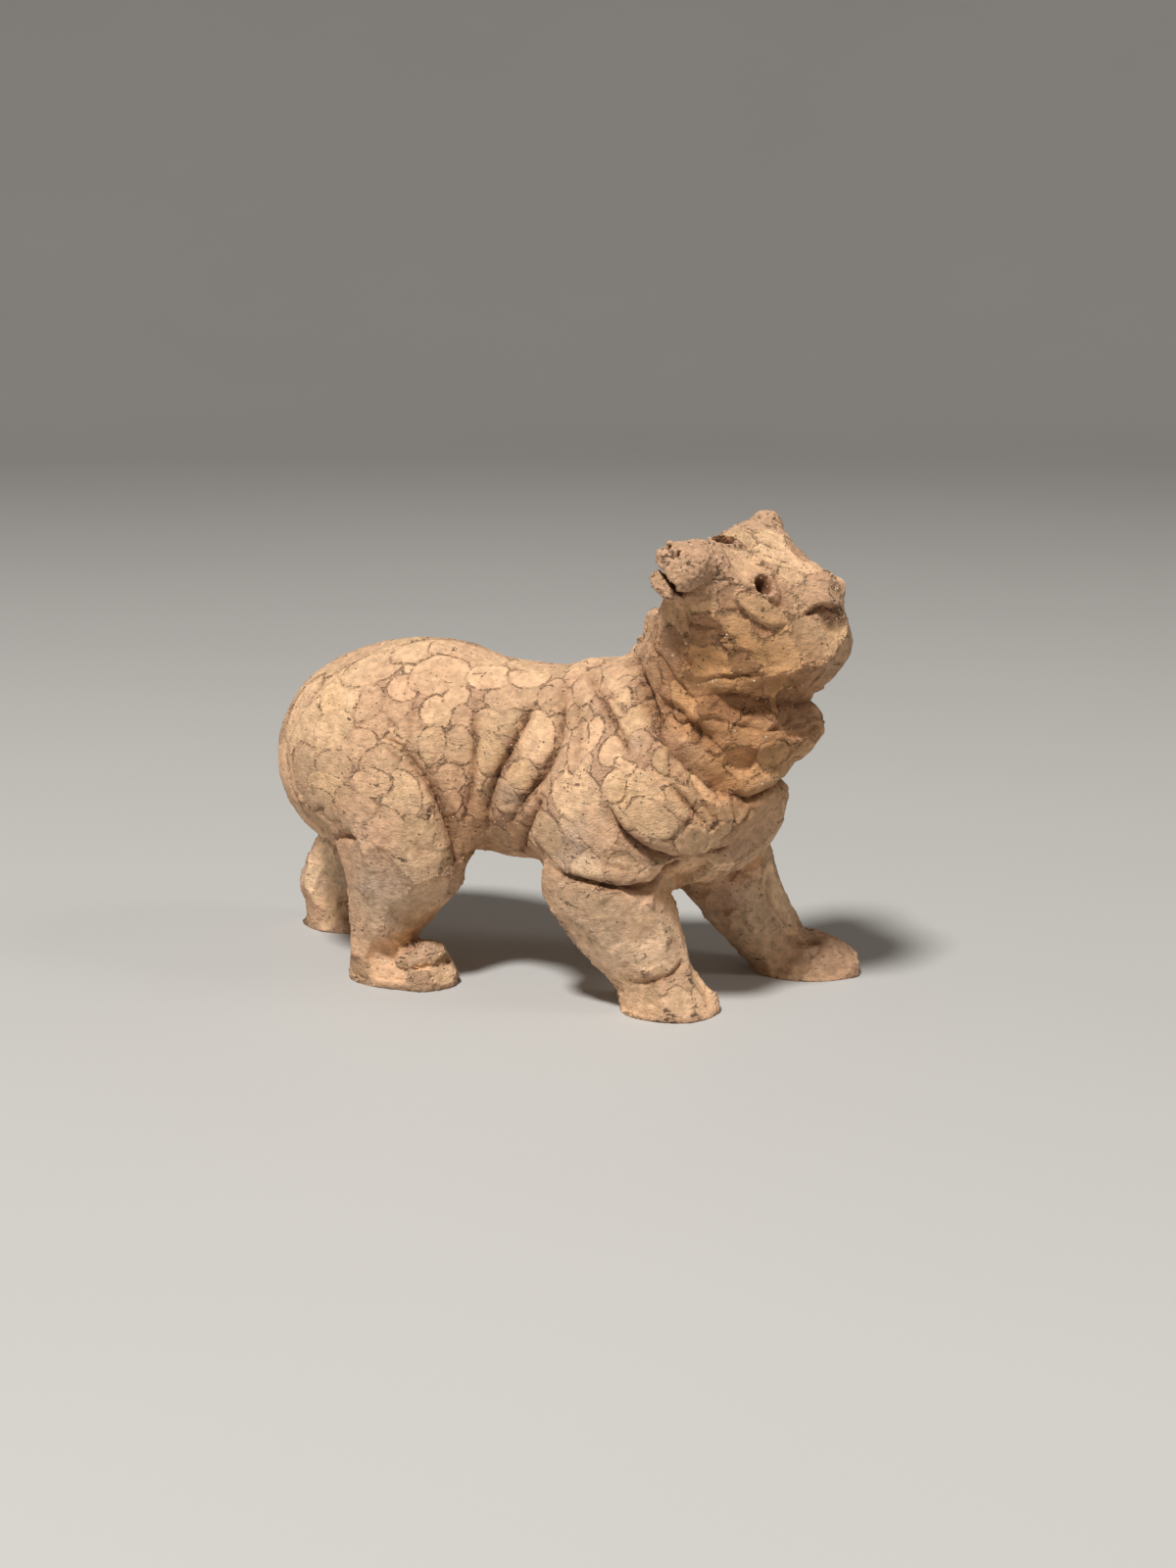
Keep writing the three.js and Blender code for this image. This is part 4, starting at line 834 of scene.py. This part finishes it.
# %% Ledges
# How high, how far back the rise reaches, which way in the picture is the raised side, marks
LEDGES = {
    "cheek plate": (0.9, 2.6, (0.4, -1), [(755, 616), (764, 627), (776, 636), (788, 641), (799, 641),
                                          (806, 634)]),
    "near ear": (1.3, 3.0, (0, -1), [(822, 628), (830, 622), (840, 619), (850, 620), (859, 626)]),
    "lobe": (1.9, 7.0, (0.3, -1), [(619, 818), (629, 839), (646, 857), (662, 867), (683, 876), (702, 877),
                                   (720, 871), (733, 862)]),
    "lobe front": (1.2, 4.0, (-1, 0), [(700, 788), (716, 802), (729, 822), (734, 842), (731, 858)]),
    "thigh": (1.5, 7.0, (-1, -0.3), [(428, 784), (443, 809), (453, 828), (461, 846), (466, 864), (469, 882)]),
    "collar": (1.8, 5.5, (-0.8, 0.6), [(650, 680), (656, 705), (664, 733), (676, 751), (694, 765), (710, 778),
                                       (726, 789), (740, 801), (753, 811)]),
    "shoulder": (1.2, 6.0, (1, 0), [(549, 815), (543, 835), (535, 855), (532, 873)]),
    "ruff": (0.5, 4.0, (0, -1), [(712, 713), (733, 711), (757, 711), (780, 716), (808, 715), (838, 713)]),
    "elbow": (1.4, 5.0, (0, -1), [(564, 884), (581, 893), (601, 898), (622, 903), (642, 906), (662, 903),
                                  (683, 896)]),
    "roll": (0.9, 4.0, (0.3, -1), [(764, 818), (781, 808), (797, 798), (808, 788)]),
    "second flank fold": (0.7, 5.0, (-1, 0), [(546, 720), (524, 751), (513, 774), (502, 796), (497, 820)]),
    "third flank fold": (0.9, 5.0, (-1, 0), [(571, 738), (566, 760), (553, 785), (537, 803), (527, 822)]),
    "brow": (0.5, 3.0, (1, -0.3), [(770, 590), (776, 582), (786, 579), (797, 582)]),
}

# In mm: how ragged the line is, how far the clay takes to rise, and how deep and wide the groove at its foot
RAGGED_LINE, RISES_IN, FOOT_DEPTH, FOOT_WIDTH = 0.25, 0.35, 0.35, 1.6
END_SHARE = 0.2
ledge_height = np.zeros(len(skin))
for height, reach, (right, down), marks in LEDGES.values():
    chain, _ = chain_through(seen(marks), [1] * len(marks))
    which, gap, share = to_chain(skin, chain, np.linspace(0, len(chain) - 1, len(chain)), reach * 2)
    step = np.clip(share.astype(int), 0, len(chain) - 2)
    off = skin[which] - chain[step]
    ahead = chain[step + 1] - chain[step]
    side = np.cross(ahead, outward[which])
    side /= np.maximum(np.linalg.norm(side, axis=1, keepdims=True), 1e-9)
    side *= np.sign(side @ (right * aside - down * upward))[:, None]
    over = (off * side).sum(1) + RAGGED_LINE * ragged[which]
    ends = eased(np.minimum(share, len(chain) - 1 - share) / (END_SHARE * len(chain)))
    rise = np.where(over > 0, np.exp(-((gap / reach) ** 2)) * np.clip(over / RISES_IN, 0, 1), 0)
    foot = np.where(over > 0, 0, -FOOT_DEPTH * np.exp(-((gap / FOOT_WIDTH) ** 2)))
    ledge_height[which] += height * ends * (rise + foot)
print("ledges rise to", round(float(ledge_height.max()), 2), "mm")

# %% Grit and the outline grooves
broken = np.clip(0.55 + 0.9 * lumpy(skin, 4.0, 7) + 0.3 * lumpy(skin, 1.3, 8), 0, 1)
OUTLINE_DEPTH, OUTLINE_WIDTH = 0.4, 0.34
crooked = edge_gap + 0.16 * lumpy(skin, 1.1, 9)
outline_height = -OUTLINE_DEPTH * broken * np.exp(-((crooked / OUTLINE_WIDTH) ** 2))
beside_eye = np.linalg.norm(skin - seen([(799, 612)])[0], axis=1)
torn = np.clip(1 - padded + np.exp(-((beside_eye / 3.5) ** 2)), 0, 1)
grit = 0.16 * lumpy(skin, 1.9, 10) + 0.2 * lumpy(skin * (1, 1, 1.7), 1.1, 11) + 0.12 * lumpy(skin, 0.7, 12)
pits = 0.55 * np.clip(lumpy(skin, 1.4, 14) - 0.45, 0, 1) * np.clip(0.4 + lumpy(skin, 5, 15), 0, 1)
relief = fold_height + flat_height + cut_height + hollow_height + ledge_height + outline_height
swell = np.where(is_cut, 0.08, 0.25) * lumpy(skin, 7.0, 13)
relief += grit * (0.4 + 0.95 * torn + 1.2 * on_muzzle) - pits + swell
relief = np.where(skin[:, 2] < SOLE_LEVEL + 0.3, 0, relief) * (1 - deep_in_opening)
carved = skin + outward * relief[:, None]
carved[:, 2] = np.maximum(carved[:, 2], SOLE_LEVEL)
print("relief from", round(float(relief.min()), 2), "to", round(float(relief.max()), 2), "mm")

# %% [markdown]
# ## One clean mesh
# The fine mesh has more triangles than a part should carry. Decimate removes them where the clay is flat
# and keeps them in the grooves and on the ridges, which is where they show. The colours need to know what
# each place is, so the facts gathered above are looked up again for every vertex that is left and stored
# as attributes: how far the nearest outline is, how deep in a fold, how torn, how much painted shade it
# gets from the clay around and above it, and which tone and lightness its patch has.

# %% Build and thin the mesh
MOST_TRIANGLES = 196000


def plain_copy(thing):
    """The evaluated mesh of an object, with its modifiers applied."""
    graph = bpy.context.evaluated_depsgraph_get()
    return bpy.data.meshes.new_from_object(thing.evaluated_get(graph), depsgraph=graph)


in_metres = ((carved + TO_ROW) * MM).tolist()
rough_mesh = bpy.data.meshes.new("rough")
rough_mesh.from_pydata(in_metres, [], quads.tolist())
rough_mesh.update()
bear = in_scene("clay_bear", rough_mesh)
thin = bear.modifiers.new("thin", "DECIMATE")
thin.ratio = MOST_TRIANGLES / (2 * len(quads))
thin.use_collapse_triangulate = True
bear.data = plain_copy(bear)
bear.modifiers.clear()
bpy.data.meshes.remove(rough_mesh)
bear.data.shade_smooth()
print("bear:", len(bear.data.polygons), "triangles")

# %% Carry the facts over as attributes
lookup = kdtree.KDTree(len(carved))
for i, place in enumerate(in_metres):
    lookup.insert(place, i)
lookup.balance()
nearest = np.array([lookup.find(v.co)[1] for v in bear.data.vertices])
# How far a vertex lies below the pads and cuts, in folds, hollows and grooves; the material darkens it as
# painted shade.
sunken = np.clip(-(relief - np.minimum(flat_height, 0) - cut_height) / 1.5, 0, 1)

# Greyed by smoke from the kiln: spots in the picture (x, y, radius), and a soft belt round the legs
GREY_AT = [
    (590, 862, 26), (385, 905, 34), (366, 850, 20), (742, 915, 26), (520, 815, 20), (575, 880, 16),
    (650, 760, 10),
]
greyed = np.zeros(len(skin))
for (x, y, radius), middle in zip(GREY_AT, seen([g[:2] for g in GREY_AT])):
    gap = np.linalg.norm(skin - middle, axis=1) / (radius * PIXEL)
    greyed = np.maximum(greyed, np.exp(-(gap ** 2)))
belt = np.clip((36 - skin[:, 2]) / 22, 0, 1) * np.clip((skin[:, 2] - 4) / 10, 0, 1)
greyed = np.maximum(greyed, 0.55 * belt)

# Painted shade: on the collar under the head, and where the clay straight ahead is near; less where it faces
# up
COLLAR_MIDDLE, COLLAR_HALF, LOOK_AHEAD = (56, -16, 84), (27, 30, 34), 12
to_collar = np.linalg.norm((skin - COLLAR_MIDDLE) / COLLAR_HALF, axis=1)
openness = figure(skin + LOOK_AHEAD * outward) / LOOK_AHEAD
painted_shade = np.maximum(np.exp(-to_collar ** 4), np.clip(1.05 - openness, 0, 1) * 1.2)
painted_shade *= np.clip(1.15 - outward[:, 2] * 1.1, 0, 1)
FACTS = {
    "edge_gap": np.minimum(edge_gap, 3.0),
    "lightness": lightness,
    "painted_shade": np.clip(painted_shade, 0, 1),
    "fold": fold_shade,
    "hole": deep_in_opening,
    "tone": tone,
    "torn": np.clip(torn + on_muzzle, 0, 1),
    "grey": greyed,
    "sunken": sunken,
}
for name, values in FACTS.items():
    attribute = bear.data.attributes.new(name, "FLOAT", "POINT")
    attribute.data.foreach_set("value", values[nearest].astype(np.float32))
print("attributes:", ", ".join(FACTS))

# %% [markdown]
# ## Fired clay
# Terracotta looks like this because of what is in it and what happened to it: an orange body that fires
# cream on the burnished flats and pink where it is torn, dark iron specks and pale grog. Painted shade
# darkens the folds, the sunken places and the openings, and warms and darkens the clay under the head; the
# outlines get a faint dark halo. The body colour and the specks are each a small group of nodes with named
# inputs, so that the crumbs of grog below can take their colour from the same clay. Only noise and cells are
# used, on object coordinates, so the pattern sits in the clay like its own grain.

# %% Helpers for building node trees
def new_group(name, inputs, outputs):
    """A shader node group with named sockets: inputs as (name, value), outputs as (name, kind)."""
    group = bpy.data.node_groups.new(name, "ShaderNodeTree")
    for socket, value in inputs:
        kind = "NodeSocketFloat" if isinstance(value, (int, float)) else "NodeSocketColor"
        if socket == "Vector":
            kind = "NodeSocketVector"
        made = group.interface.new_socket(socket, in_out="INPUT", socket_type=kind)
        if kind == "NodeSocketFloat":
            made.default_value = value
        elif kind == "NodeSocketColor":
            made.default_value = (*value, 1)
    for socket, kind in outputs:
        group.interface.new_socket(socket, in_out="OUTPUT", socket_type=kind)
    return group, Wiring(group)


def new_material(name):
    """A material, its shader and the wiring of its tree."""
    material = bpy.data.materials.new(name)
    material.use_nodes = True
    return material, material.node_tree.nodes["Principled BSDF"], Wiring(material.node_tree)


class Wiring:
    """Short ways to add nodes to one tree and to join them."""

    def __init__(self, tree):
        self.tree = tree

    def node(self, kind, **settings):
        made = self.tree.nodes.new(kind)
        for key, value in settings.items():
            setattr(made, key, value)
        return made

    def put(self, socket, value):
        """Link another node's output to a socket, or set a number or a colour on it."""
        if isinstance(value, bpy.types.NodeSocket):
            self.tree.links.new(value, socket)
        elif isinstance(value, tuple) and socket.type == "RGBA":
            socket.default_value = (*value, 1)
        elif value is not None:
            socket.default_value = value

    def math(self, operation, *values):
        made = self.node("ShaderNodeMath", operation=operation)
        for socket, value in zip(made.inputs, values):
            self.put(socket, value)
        return made.outputs[0]

    def times(self, a, b):
        return self.math("MULTIPLY", a, b)

    def most(self, a, b):
        return self.math("MAXIMUM", a, b)

    def mapped(self, value, a, b, c=0.0, d=1.0):
        """A value from a to b becomes one from c to d, eased at both ends."""
        made = self.node("ShaderNodeMapRange", interpolation_type="SMOOTHSTEP")
        self.put(made.inputs[0], value)
        for socket, number in zip(made.inputs[1:5], (a, b, c, d)):
            self.put(socket, number)
        return made.outputs[0]

    def mix(self, share, a, b, blend="MIX"):
        """A colour that is a where the share is 0 and b where it is 1."""
        made = self.node("ShaderNodeMix", data_type="RGBA", blend_type=blend, clamp_factor=True)
        self.put(made.inputs[0], share)
        self.put(made.inputs[6], a)
        self.put(made.inputs[7], b)
        return made.outputs[2]

    def noise(self, vector, scale, detail=3.0, rough=0.55, bent=0.0):
        made = self.node("ShaderNodeTexNoise")
        self.put(made.inputs["Vector"], vector)
        self.put(made.inputs["Scale"], scale)
        made.inputs["Detail"].default_value = detail
        made.inputs["Distortion"].default_value = bent
        made.inputs["Roughness"].default_value = rough
        return made.outputs["Fac"]

    def cells(self, vector, scale):
        made = self.node("ShaderNodeTexVoronoi")
        self.put(made.inputs["Vector"], vector)
        self.put(made.inputs["Scale"], scale)
        return made

    def stretched(self, vector, scale, turn):
        made = self.node("ShaderNodeMapping")
        self.put(made.inputs["Vector"], vector)
        made.inputs["Scale"].default_value = scale
        made.inputs["Rotation"].default_value = turn
        return made.outputs[0]

    def grey(self, value):
        """A value as a colour."""
        made = self.node("ShaderNodeCombineColor")
        for socket in made.inputs[:3]:
            self.put(socket, value)
        return made.outputs[0]

    def fact(self, name):
        """One of the attributes stored on the mesh."""
        return self.node("ShaderNodeAttribute", attribute_name=name).outputs["Fac"]


# %% Body colour of the clay
CLAY_PEACH = (0.72, 0.445, 0.275)
CLAY_CREAM = (0.79, 0.53, 0.32)
CLAY_OCHRE = (0.68, 0.42, 0.205)
CLAY_PINK = (0.64, 0.39, 0.26)
CLAY_GREY = (0.62, 0.48, 0.385)
# The warm tint of the painted shade under the head and in hemmed-in places
PAINTED_SHADE_TINT = (0.77, 0.585, 0.385)
# The darkest colour: iron specks, cracks and outlines, dark grog crumbs, and painted shade deep in the
# openings and folds
SPECK_AND_SHADE_DARK = (0.06, 0.03, 0.017)
# A dark brown: a faint halo along the outlines and painted shade in the folds, sunken places and openings
HALO_AND_SHADE_BROWN = (0.27, 0.115, 0.05)
GROG_PALE = (0.86, 0.72, 0.56)


def clay_colour():
    """Cream to orange and pink in soft clouds, with a fine mottle, and painted shade where the clay is hemmed
    in or faces down.
    """
    inputs = [("Vector", None)]
    inputs += [(name, 0.0) for name in ("Tone", "Torn", "Grey", "Lightness", "Painted_shade")]
    group, w = new_group("clay colour", inputs, [("Color", "NodeSocketColor")])
    given = w.node("NodeGroupInput").outputs
    cloud = w.noise(given["Vector"], 55.0, 3.0)
    mottle = w.noise(given["Vector"], 420.0, 4.0, 0.65)
    yellow = w.math("ADD", w.times(given["Tone"], 0.7), w.mapped(cloud, 0.3, 0.7, -0.35, 0.35))
    base = w.mix(w.mapped(yellow, -0.6, 0.6), CLAY_PEACH, CLAY_CREAM)
    base = w.mix(w.mapped(yellow, 0.25, 0.85, 0.0, 0.55), base, CLAY_OCHRE)
    base = w.mix(w.times(given["Torn"], w.mapped(mottle, 0.3, 0.65, 0.15, 0.6)), base, CLAY_PINK)
    base = w.mix(w.times(given["Grey"], w.mapped(cloud, 0.35, 0.6, 0.15, 0.5)), base, CLAY_GREY)
    # Painted shade: warmer and darker under the head and where the clay is hemmed in or faces down.
    base = w.mix(w.times(given["Painted_shade"], 0.85), base, w.mix(1.0, base, PAINTED_SHADE_TINT, "MULTIPLY"))
    light = w.math("MULTIPLY_ADD", given["Lightness"], 0.15, 1.0)
    shade = w.times(w.mapped(mottle, 0.25, 0.75, 0.70, 1.18), light)
    w.put(w.node("NodeGroupOutput").inputs["Color"], w.mix(1.0, base, w.grey(shade), "MULTIPLY"))
    return group


clay_group = clay_colour()


# %% Specks, pits and torn cracks
def grains(w, place, scale, channel, rarity, largest):
    """Round grains: of all the cells, those whose own random number is over the rarity."""
    cell = w.cells(place, scale)
    own = w.node("ShaderNodeSeparateColor")
    w.put(own.inputs[0], cell.outputs["Color"])
    size = w.mapped(own.outputs[channel], rarity, 1.0, 0.0, largest)
    return w.mapped(w.math("SUBTRACT", size, cell.outputs["Distance"]), 0.0, 0.06)


def clay_specks():
    """Masks of dark iron specks, pale grog and torn cracks, and the height that they give the clay."""
    group, w = new_group("clay specks", [("Vector", None), ("Torn", 0.0), ("Cracks", 1.0)],
                         [(name, "NodeSocketFloat") for name in ("Dark", "Pale", "Height")])
    given = w.node("NodeGroupInput").outputs
    place, torn_here = given["Vector"], given["Torn"]
    gather = w.mapped(w.noise(place, 160.0, 2.0), 0.42, 0.6, 0.15, 1.0)
    dark = w.times(grains(w, place, 950.0, 0, 0.7, 0.32), gather)
    pale = grains(w, place, 700.0, 1, 0.82, 0.3)
    drag = w.stretched(place, (1.0, 1.0, 1.9), (0.25, 0.2, 0.0))
    tear = w.noise(drag, 330.0, 4.0, 0.66, 1.2)
    where = w.mapped(w.noise(place, 110.0, 3.0), 0.42, 0.66)
    limit = w.math("ADD", w.times(where, w.mapped(torn_here, 0.0, 1.0, 0.05, 0.14)), 0.318)
    crack = w.times(w.mapped(w.math("SUBTRACT", limit, tear), -0.01, 0.022), given["Cracks"])
    dark = w.most(dark, crack)
    fine = w.noise(place, 1700.0, 3.0, 0.7)
    coarse = w.times(w.noise(drag, 480.0, 5.0, 0.68), w.mapped(torn_here, 0, 1, 0.7, 1.5))
    height = w.math("ADD", w.times(fine, 0.3), coarse)
    height = w.math("SUBTRACT", height, w.times(dark, 0.8))
    height = w.math("ADD", height, w.times(pale, 0.35))
    out = w.node("NodeGroupOutput").inputs
    for name, value in (("Dark", dark), ("Pale", pale), ("Height", height)):
        w.put(out[name], value)
    return group


speck_group = clay_specks()
print("groups:", clay_group.name, "and", speck_group.name)


# %% The terracotta itself
def terracotta():
    """The clay's colour and specks, with painted shade in the folds, sunken places and openings, and dark,
    broken outlines round the patches.
    """
    material, shader, w = new_material("terracotta")
    place = w.node("ShaderNodeTexCoord").outputs["Object"]
    torn_here = w.fact("torn")
    colour = w.node("ShaderNodeGroup", node_tree=clay_group)
    specks = w.node("ShaderNodeGroup", node_tree=speck_group)
    for group in (colour, specks):
        w.put(group.inputs["Vector"], place)
        w.put(group.inputs["Torn"], torn_here)
    for name in ("Tone", "Grey", "Lightness", "Painted_shade"):
        w.put(colour.inputs[name], w.fact(name.lower()))

    wobble = w.mapped(w.noise(place, 900.0, 3.0), 0.2, 0.8, -0.28, 0.28)
    gap = w.math("ADD", w.fact("edge_gap"), wobble)
    dashes = w.mapped(w.noise(place, 210.0, 3.0), 0.36, 0.6)
    outline = w.times(w.mapped(gap, 0.05, 0.34, 1.0, 0.0), dashes)
    halo = w.times(w.mapped(gap, 0.1, 1.1, 1.0, 0.0), w.mapped(dashes, 0, 1, 0.03, 0.2))
    deep = w.times(w.fact("fold"), w.mapped(w.noise(place, 300.0, 4.0, 0.7), 0.32, 0.62, 0.2, 1.0))

    # Painted shade in dark brown: deep in the folds, in the sunken places and in the openings; with it a
    # faint dark halo along the outlines.
    halo_and_shade = w.most(halo, w.times(deep, 0.95))
    halo_and_shade = w.most(halo_and_shade, w.times(w.fact("sunken"), 0.6))
    halo_and_shade = w.most(halo_and_shade, w.times(w.fact("hole"), 0.9))
    base = w.mix(w.times(halo_and_shade, 0.8), colour.outputs["Color"], HALO_AND_SHADE_BROWN)
    base = w.mix(w.times(specks.outputs["Pale"], 0.55), base, GROG_PALE)
    dark = w.most(w.times(specks.outputs["Dark"], 0.75), w.times(outline, 0.34))
    # The openings and the deepest folds go nearly black: painted shade.
    dark = w.most(dark, w.mapped(w.fact("hole"), 0.5, 1.0, 0.0, 0.55))
    dark = w.most(dark, w.mapped(deep, 0.55, 1.0, 0.0, 0.5))
    w.put(shader.inputs["Base Color"], w.mix(dark, base, SPECK_AND_SHADE_DARK))
    w.put(shader.inputs["Roughness"], w.mapped(torn_here, 0.0, 1.0, 0.78, 0.95))
    shader.inputs["Specular IOR Level"].default_value = 0.28

    bump = w.node("ShaderNodeBump")
    bump.inputs["Strength"].default_value = 0.85
    bump.inputs["Distance"].default_value = 0.0014
    w.put(bump.inputs["Height"], w.math("SUBTRACT", specks.outputs["Height"], w.times(outline, 0.9)))
    w.put(shader.inputs["Normal"], bump.outputs[0])
    return material


fired_clay = terracotta()
bear.data.materials.append(fired_clay)
print("material:", fired_clay.name)

# %% [markdown]
# ## Crumbs of grog
# Coarse clay holds crushed, already fired clay, called grog. Where the surface is torn, crumbs of it stand
# out by a few tenths of a millimetre. So many crumbs are a job for Geometry Nodes: points are
# scattered over the faces, more where the clay is torn, and each point gets a crumb of its own size and
# turn. The tree ends in real faces, because copies alone wouldn't leave Blender.

# %% Scatter the crumbs
CRUMBS = {"Crumbs per m2": 90000.0, "Smallest": 0.00010, "Largest": 0.00032, "Seed": 5}
FULL_TURN = 6.3


def crumb_tree(material):
    """The tree that scatters crumbs of a material over torn clay, and its inputs' identifiers by name."""
    tree = bpy.data.node_groups.new("grog crumbs", "GeometryNodeTree")
    sockets = {}
    tree.interface.new_socket("Geometry", in_out="INPUT", socket_type="NodeSocketGeometry")
    for name, value in CRUMBS.items():
        kind = "NodeSocketInt" if isinstance(value, int) else "NodeSocketFloat"
        made = tree.interface.new_socket(name, in_out="INPUT", socket_type=kind)
        made.default_value = value
        sockets[name] = made.identifier
    tree.interface.new_socket("Geometry", in_out="OUTPUT", socket_type="NodeSocketGeometry")
    w = Wiring(tree)
    given, out = w.node("NodeGroupInput"), w.node("NodeGroupOutput")
    torn_here = w.node("GeometryNodeInputNamedAttribute", data_type="FLOAT")
    torn_here.inputs["Name"].default_value = "torn"
    more = w.math("POWER", torn_here.outputs["Attribute"], 2.0)
    scatter = w.node("GeometryNodeDistributePointsOnFaces", distribute_method="RANDOM")
    w.put(scatter.inputs["Mesh"], given.outputs["Geometry"])
    w.put(scatter.inputs["Density"], w.times(more, given.outputs["Crumbs per m2"]))
    w.put(scatter.inputs["Seed"], given.outputs["Seed"])
    crumb = w.node("GeometryNodeMeshIcoSphere")
    crumb.inputs["Radius"].default_value = 1.0
    crumb.inputs["Subdivisions"].default_value = 1
    size = w.node("FunctionNodeRandomValue", data_type="FLOAT")
    w.put(size.inputs[2], given.outputs["Smallest"])
    w.put(size.inputs[3], given.outputs["Largest"])
    w.put(size.inputs["Seed"], given.outputs["Seed"])
    turn = w.node("FunctionNodeRandomValue", data_type="FLOAT_VECTOR")
    turn.inputs[1].default_value = (FULL_TURN,) * 3
    spread = w.node("GeometryNodeInstanceOnPoints")
    w.put(spread.inputs["Points"], scatter.outputs["Points"])
    w.put(spread.inputs["Instance"], crumb.outputs["Mesh"])
    w.put(spread.inputs["Scale"], size.outputs[1])
    w.put(spread.inputs["Rotation"], turn.outputs[0])
    real = w.node("GeometryNodeRealizeInstances")
    w.put(real.inputs[0], spread.outputs[0])
    coat = w.node("GeometryNodeSetMaterial")
    coat.inputs["Material"].default_value = material
    w.put(coat.inputs["Geometry"], real.outputs[0])
    w.put(out.inputs["Geometry"], coat.outputs["Geometry"])
    return tree, sockets


def grog_finish():
    """Torn clay whose crumbs are here and there pale or dark."""
    material, shader, w = new_material("grog")
    place = w.node("ShaderNodeTexCoord").outputs["Object"]
    colour = w.node("ShaderNodeGroup", node_tree=clay_group)
    w.put(colour.inputs["Vector"], place)
    colour.inputs["Torn"].default_value = 0.5
    pick = w.noise(place, 800.0, 1.0)
    base = w.mix(w.mapped(pick, 0.55, 0.62, 0.0, 0.7), colour.outputs["Color"], GROG_PALE)
    base = w.mix(w.mapped(pick, 0.40, 0.34, 0.0, 0.8), base, SPECK_AND_SHADE_DARK)
    w.put(shader.inputs["Base Color"], base)
    shader.inputs["Roughness"].default_value = 0.9
    return material


tree, sockets = crumb_tree(grog_finish())
carrier = in_scene("grog_crumbs", bear.data.copy())
scatter = carrier.modifiers.new("crumbs", "NODES")
scatter.node_group = tree
for name, value in CRUMBS.items():
    scatter[sockets[name]] = value
crumbs = plain_copy(carrier)
carrier.modifiers.clear()
carrier.data = crumbs
print("grog:", len(crumbs.polygons), "triangles")

# %% [markdown]
# ## Floor and light
# A dish-shaped floor has no edge to see from any side. One softbox high in front models the folds, a faint
# one on the right keeps the shadows open, and weak, warm light from all around does the rest.

# %% Floor
FLAT_SHARE, FLAT_RINGS = 0.55, 6


def dish(radius, rise, rings=24, turns=96):
    """A flat round floor whose rim curves up."""
    profile = [(radius * FLAT_SHARE * k / FLAT_RINGS, 0.0) for k in range(1, FLAT_RINGS + 1)]
    profile += [(radius * (FLAT_SHARE + (1 - FLAT_SHARE) * np.sin(a)), rise * (1 - np.cos(a)))
                for a in np.linspace(0.1, 1.5, rings)]
    angles = np.linspace(0, 2 * np.pi, turns, endpoint=False)
    points = [(0, 0, 0)] + [(r * np.cos(a), r * np.sin(a), z) for r, z in profile for a in angles]
    faces = [(0, 1 + k, 1 + (k + 1) % turns) for k in range(turns)]
    for ring in range(len(profile) - 1):
        start = 1 + ring * turns
        faces += [(start + k, start + turns + k, start + turns + (k + 1) % turns, start + (k + 1) % turns)
                  for k in range(turns)]
    return points, faces


points, faces = dish(3.2, 1.6)
floor_mesh = bpy.data.meshes.new("floor")
floor_mesh.from_pydata(points, [], faces)
floor_mesh.shade_smooth()
floor = in_scene("floor", floor_mesh)
floor_finish, shader, w = new_material("floor")
paper = w.node("ShaderNodeTexCoord").outputs["Object"]
tint = w.mix(w.noise(paper, 3.0, 2.0), (0.48, 0.48, 0.47), (0.52, 0.52, 0.51))
w.put(shader.inputs["Base Color"], tint)
shader.inputs["Roughness"].default_value = 0.7
floor_mesh.materials.append(floor_finish)


# %% Light
LIT_POINT = Vector((0, 0, 0.07))


def softbox(name, place, size, power, colour):
    """A round area lamp that faces the bear."""
    light = bpy.data.lights.new(name, "AREA")
    light.shape = "DISK"
    light.size = size
    light.energy = power
    light.color = colour
    lamp = in_scene(name, light)
    lamp.location = place
    lamp.rotation_euler = (LIT_POINT - Vector(place)).to_track_quat("-Z", "Y").to_euler()


softbox("key", (-0.05, -1.10, 1.95), 0.36, 57.0, (1.0, 0.975, 0.94))
softbox("fill", (1.5, 0.2, 1.25), 0.5, 4.5, (1.0, 0.94, 0.88))
world = bpy.data.worlds.new("studio")
world.use_nodes = True
background = world.node_tree.nodes["Background"]
background.inputs["Color"].default_value = (1.0, 0.88, 0.75, 1)
background.inputs["Strength"].default_value = 0.12
bpy.context.scene.world = world
bpy.context.scene.view_settings.view_transform = "Standard"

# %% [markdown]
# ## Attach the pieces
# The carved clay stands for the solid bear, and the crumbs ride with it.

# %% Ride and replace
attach(bear, "root")
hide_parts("bear")
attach(carrier, "root")
bpy.context.view_layer.update()
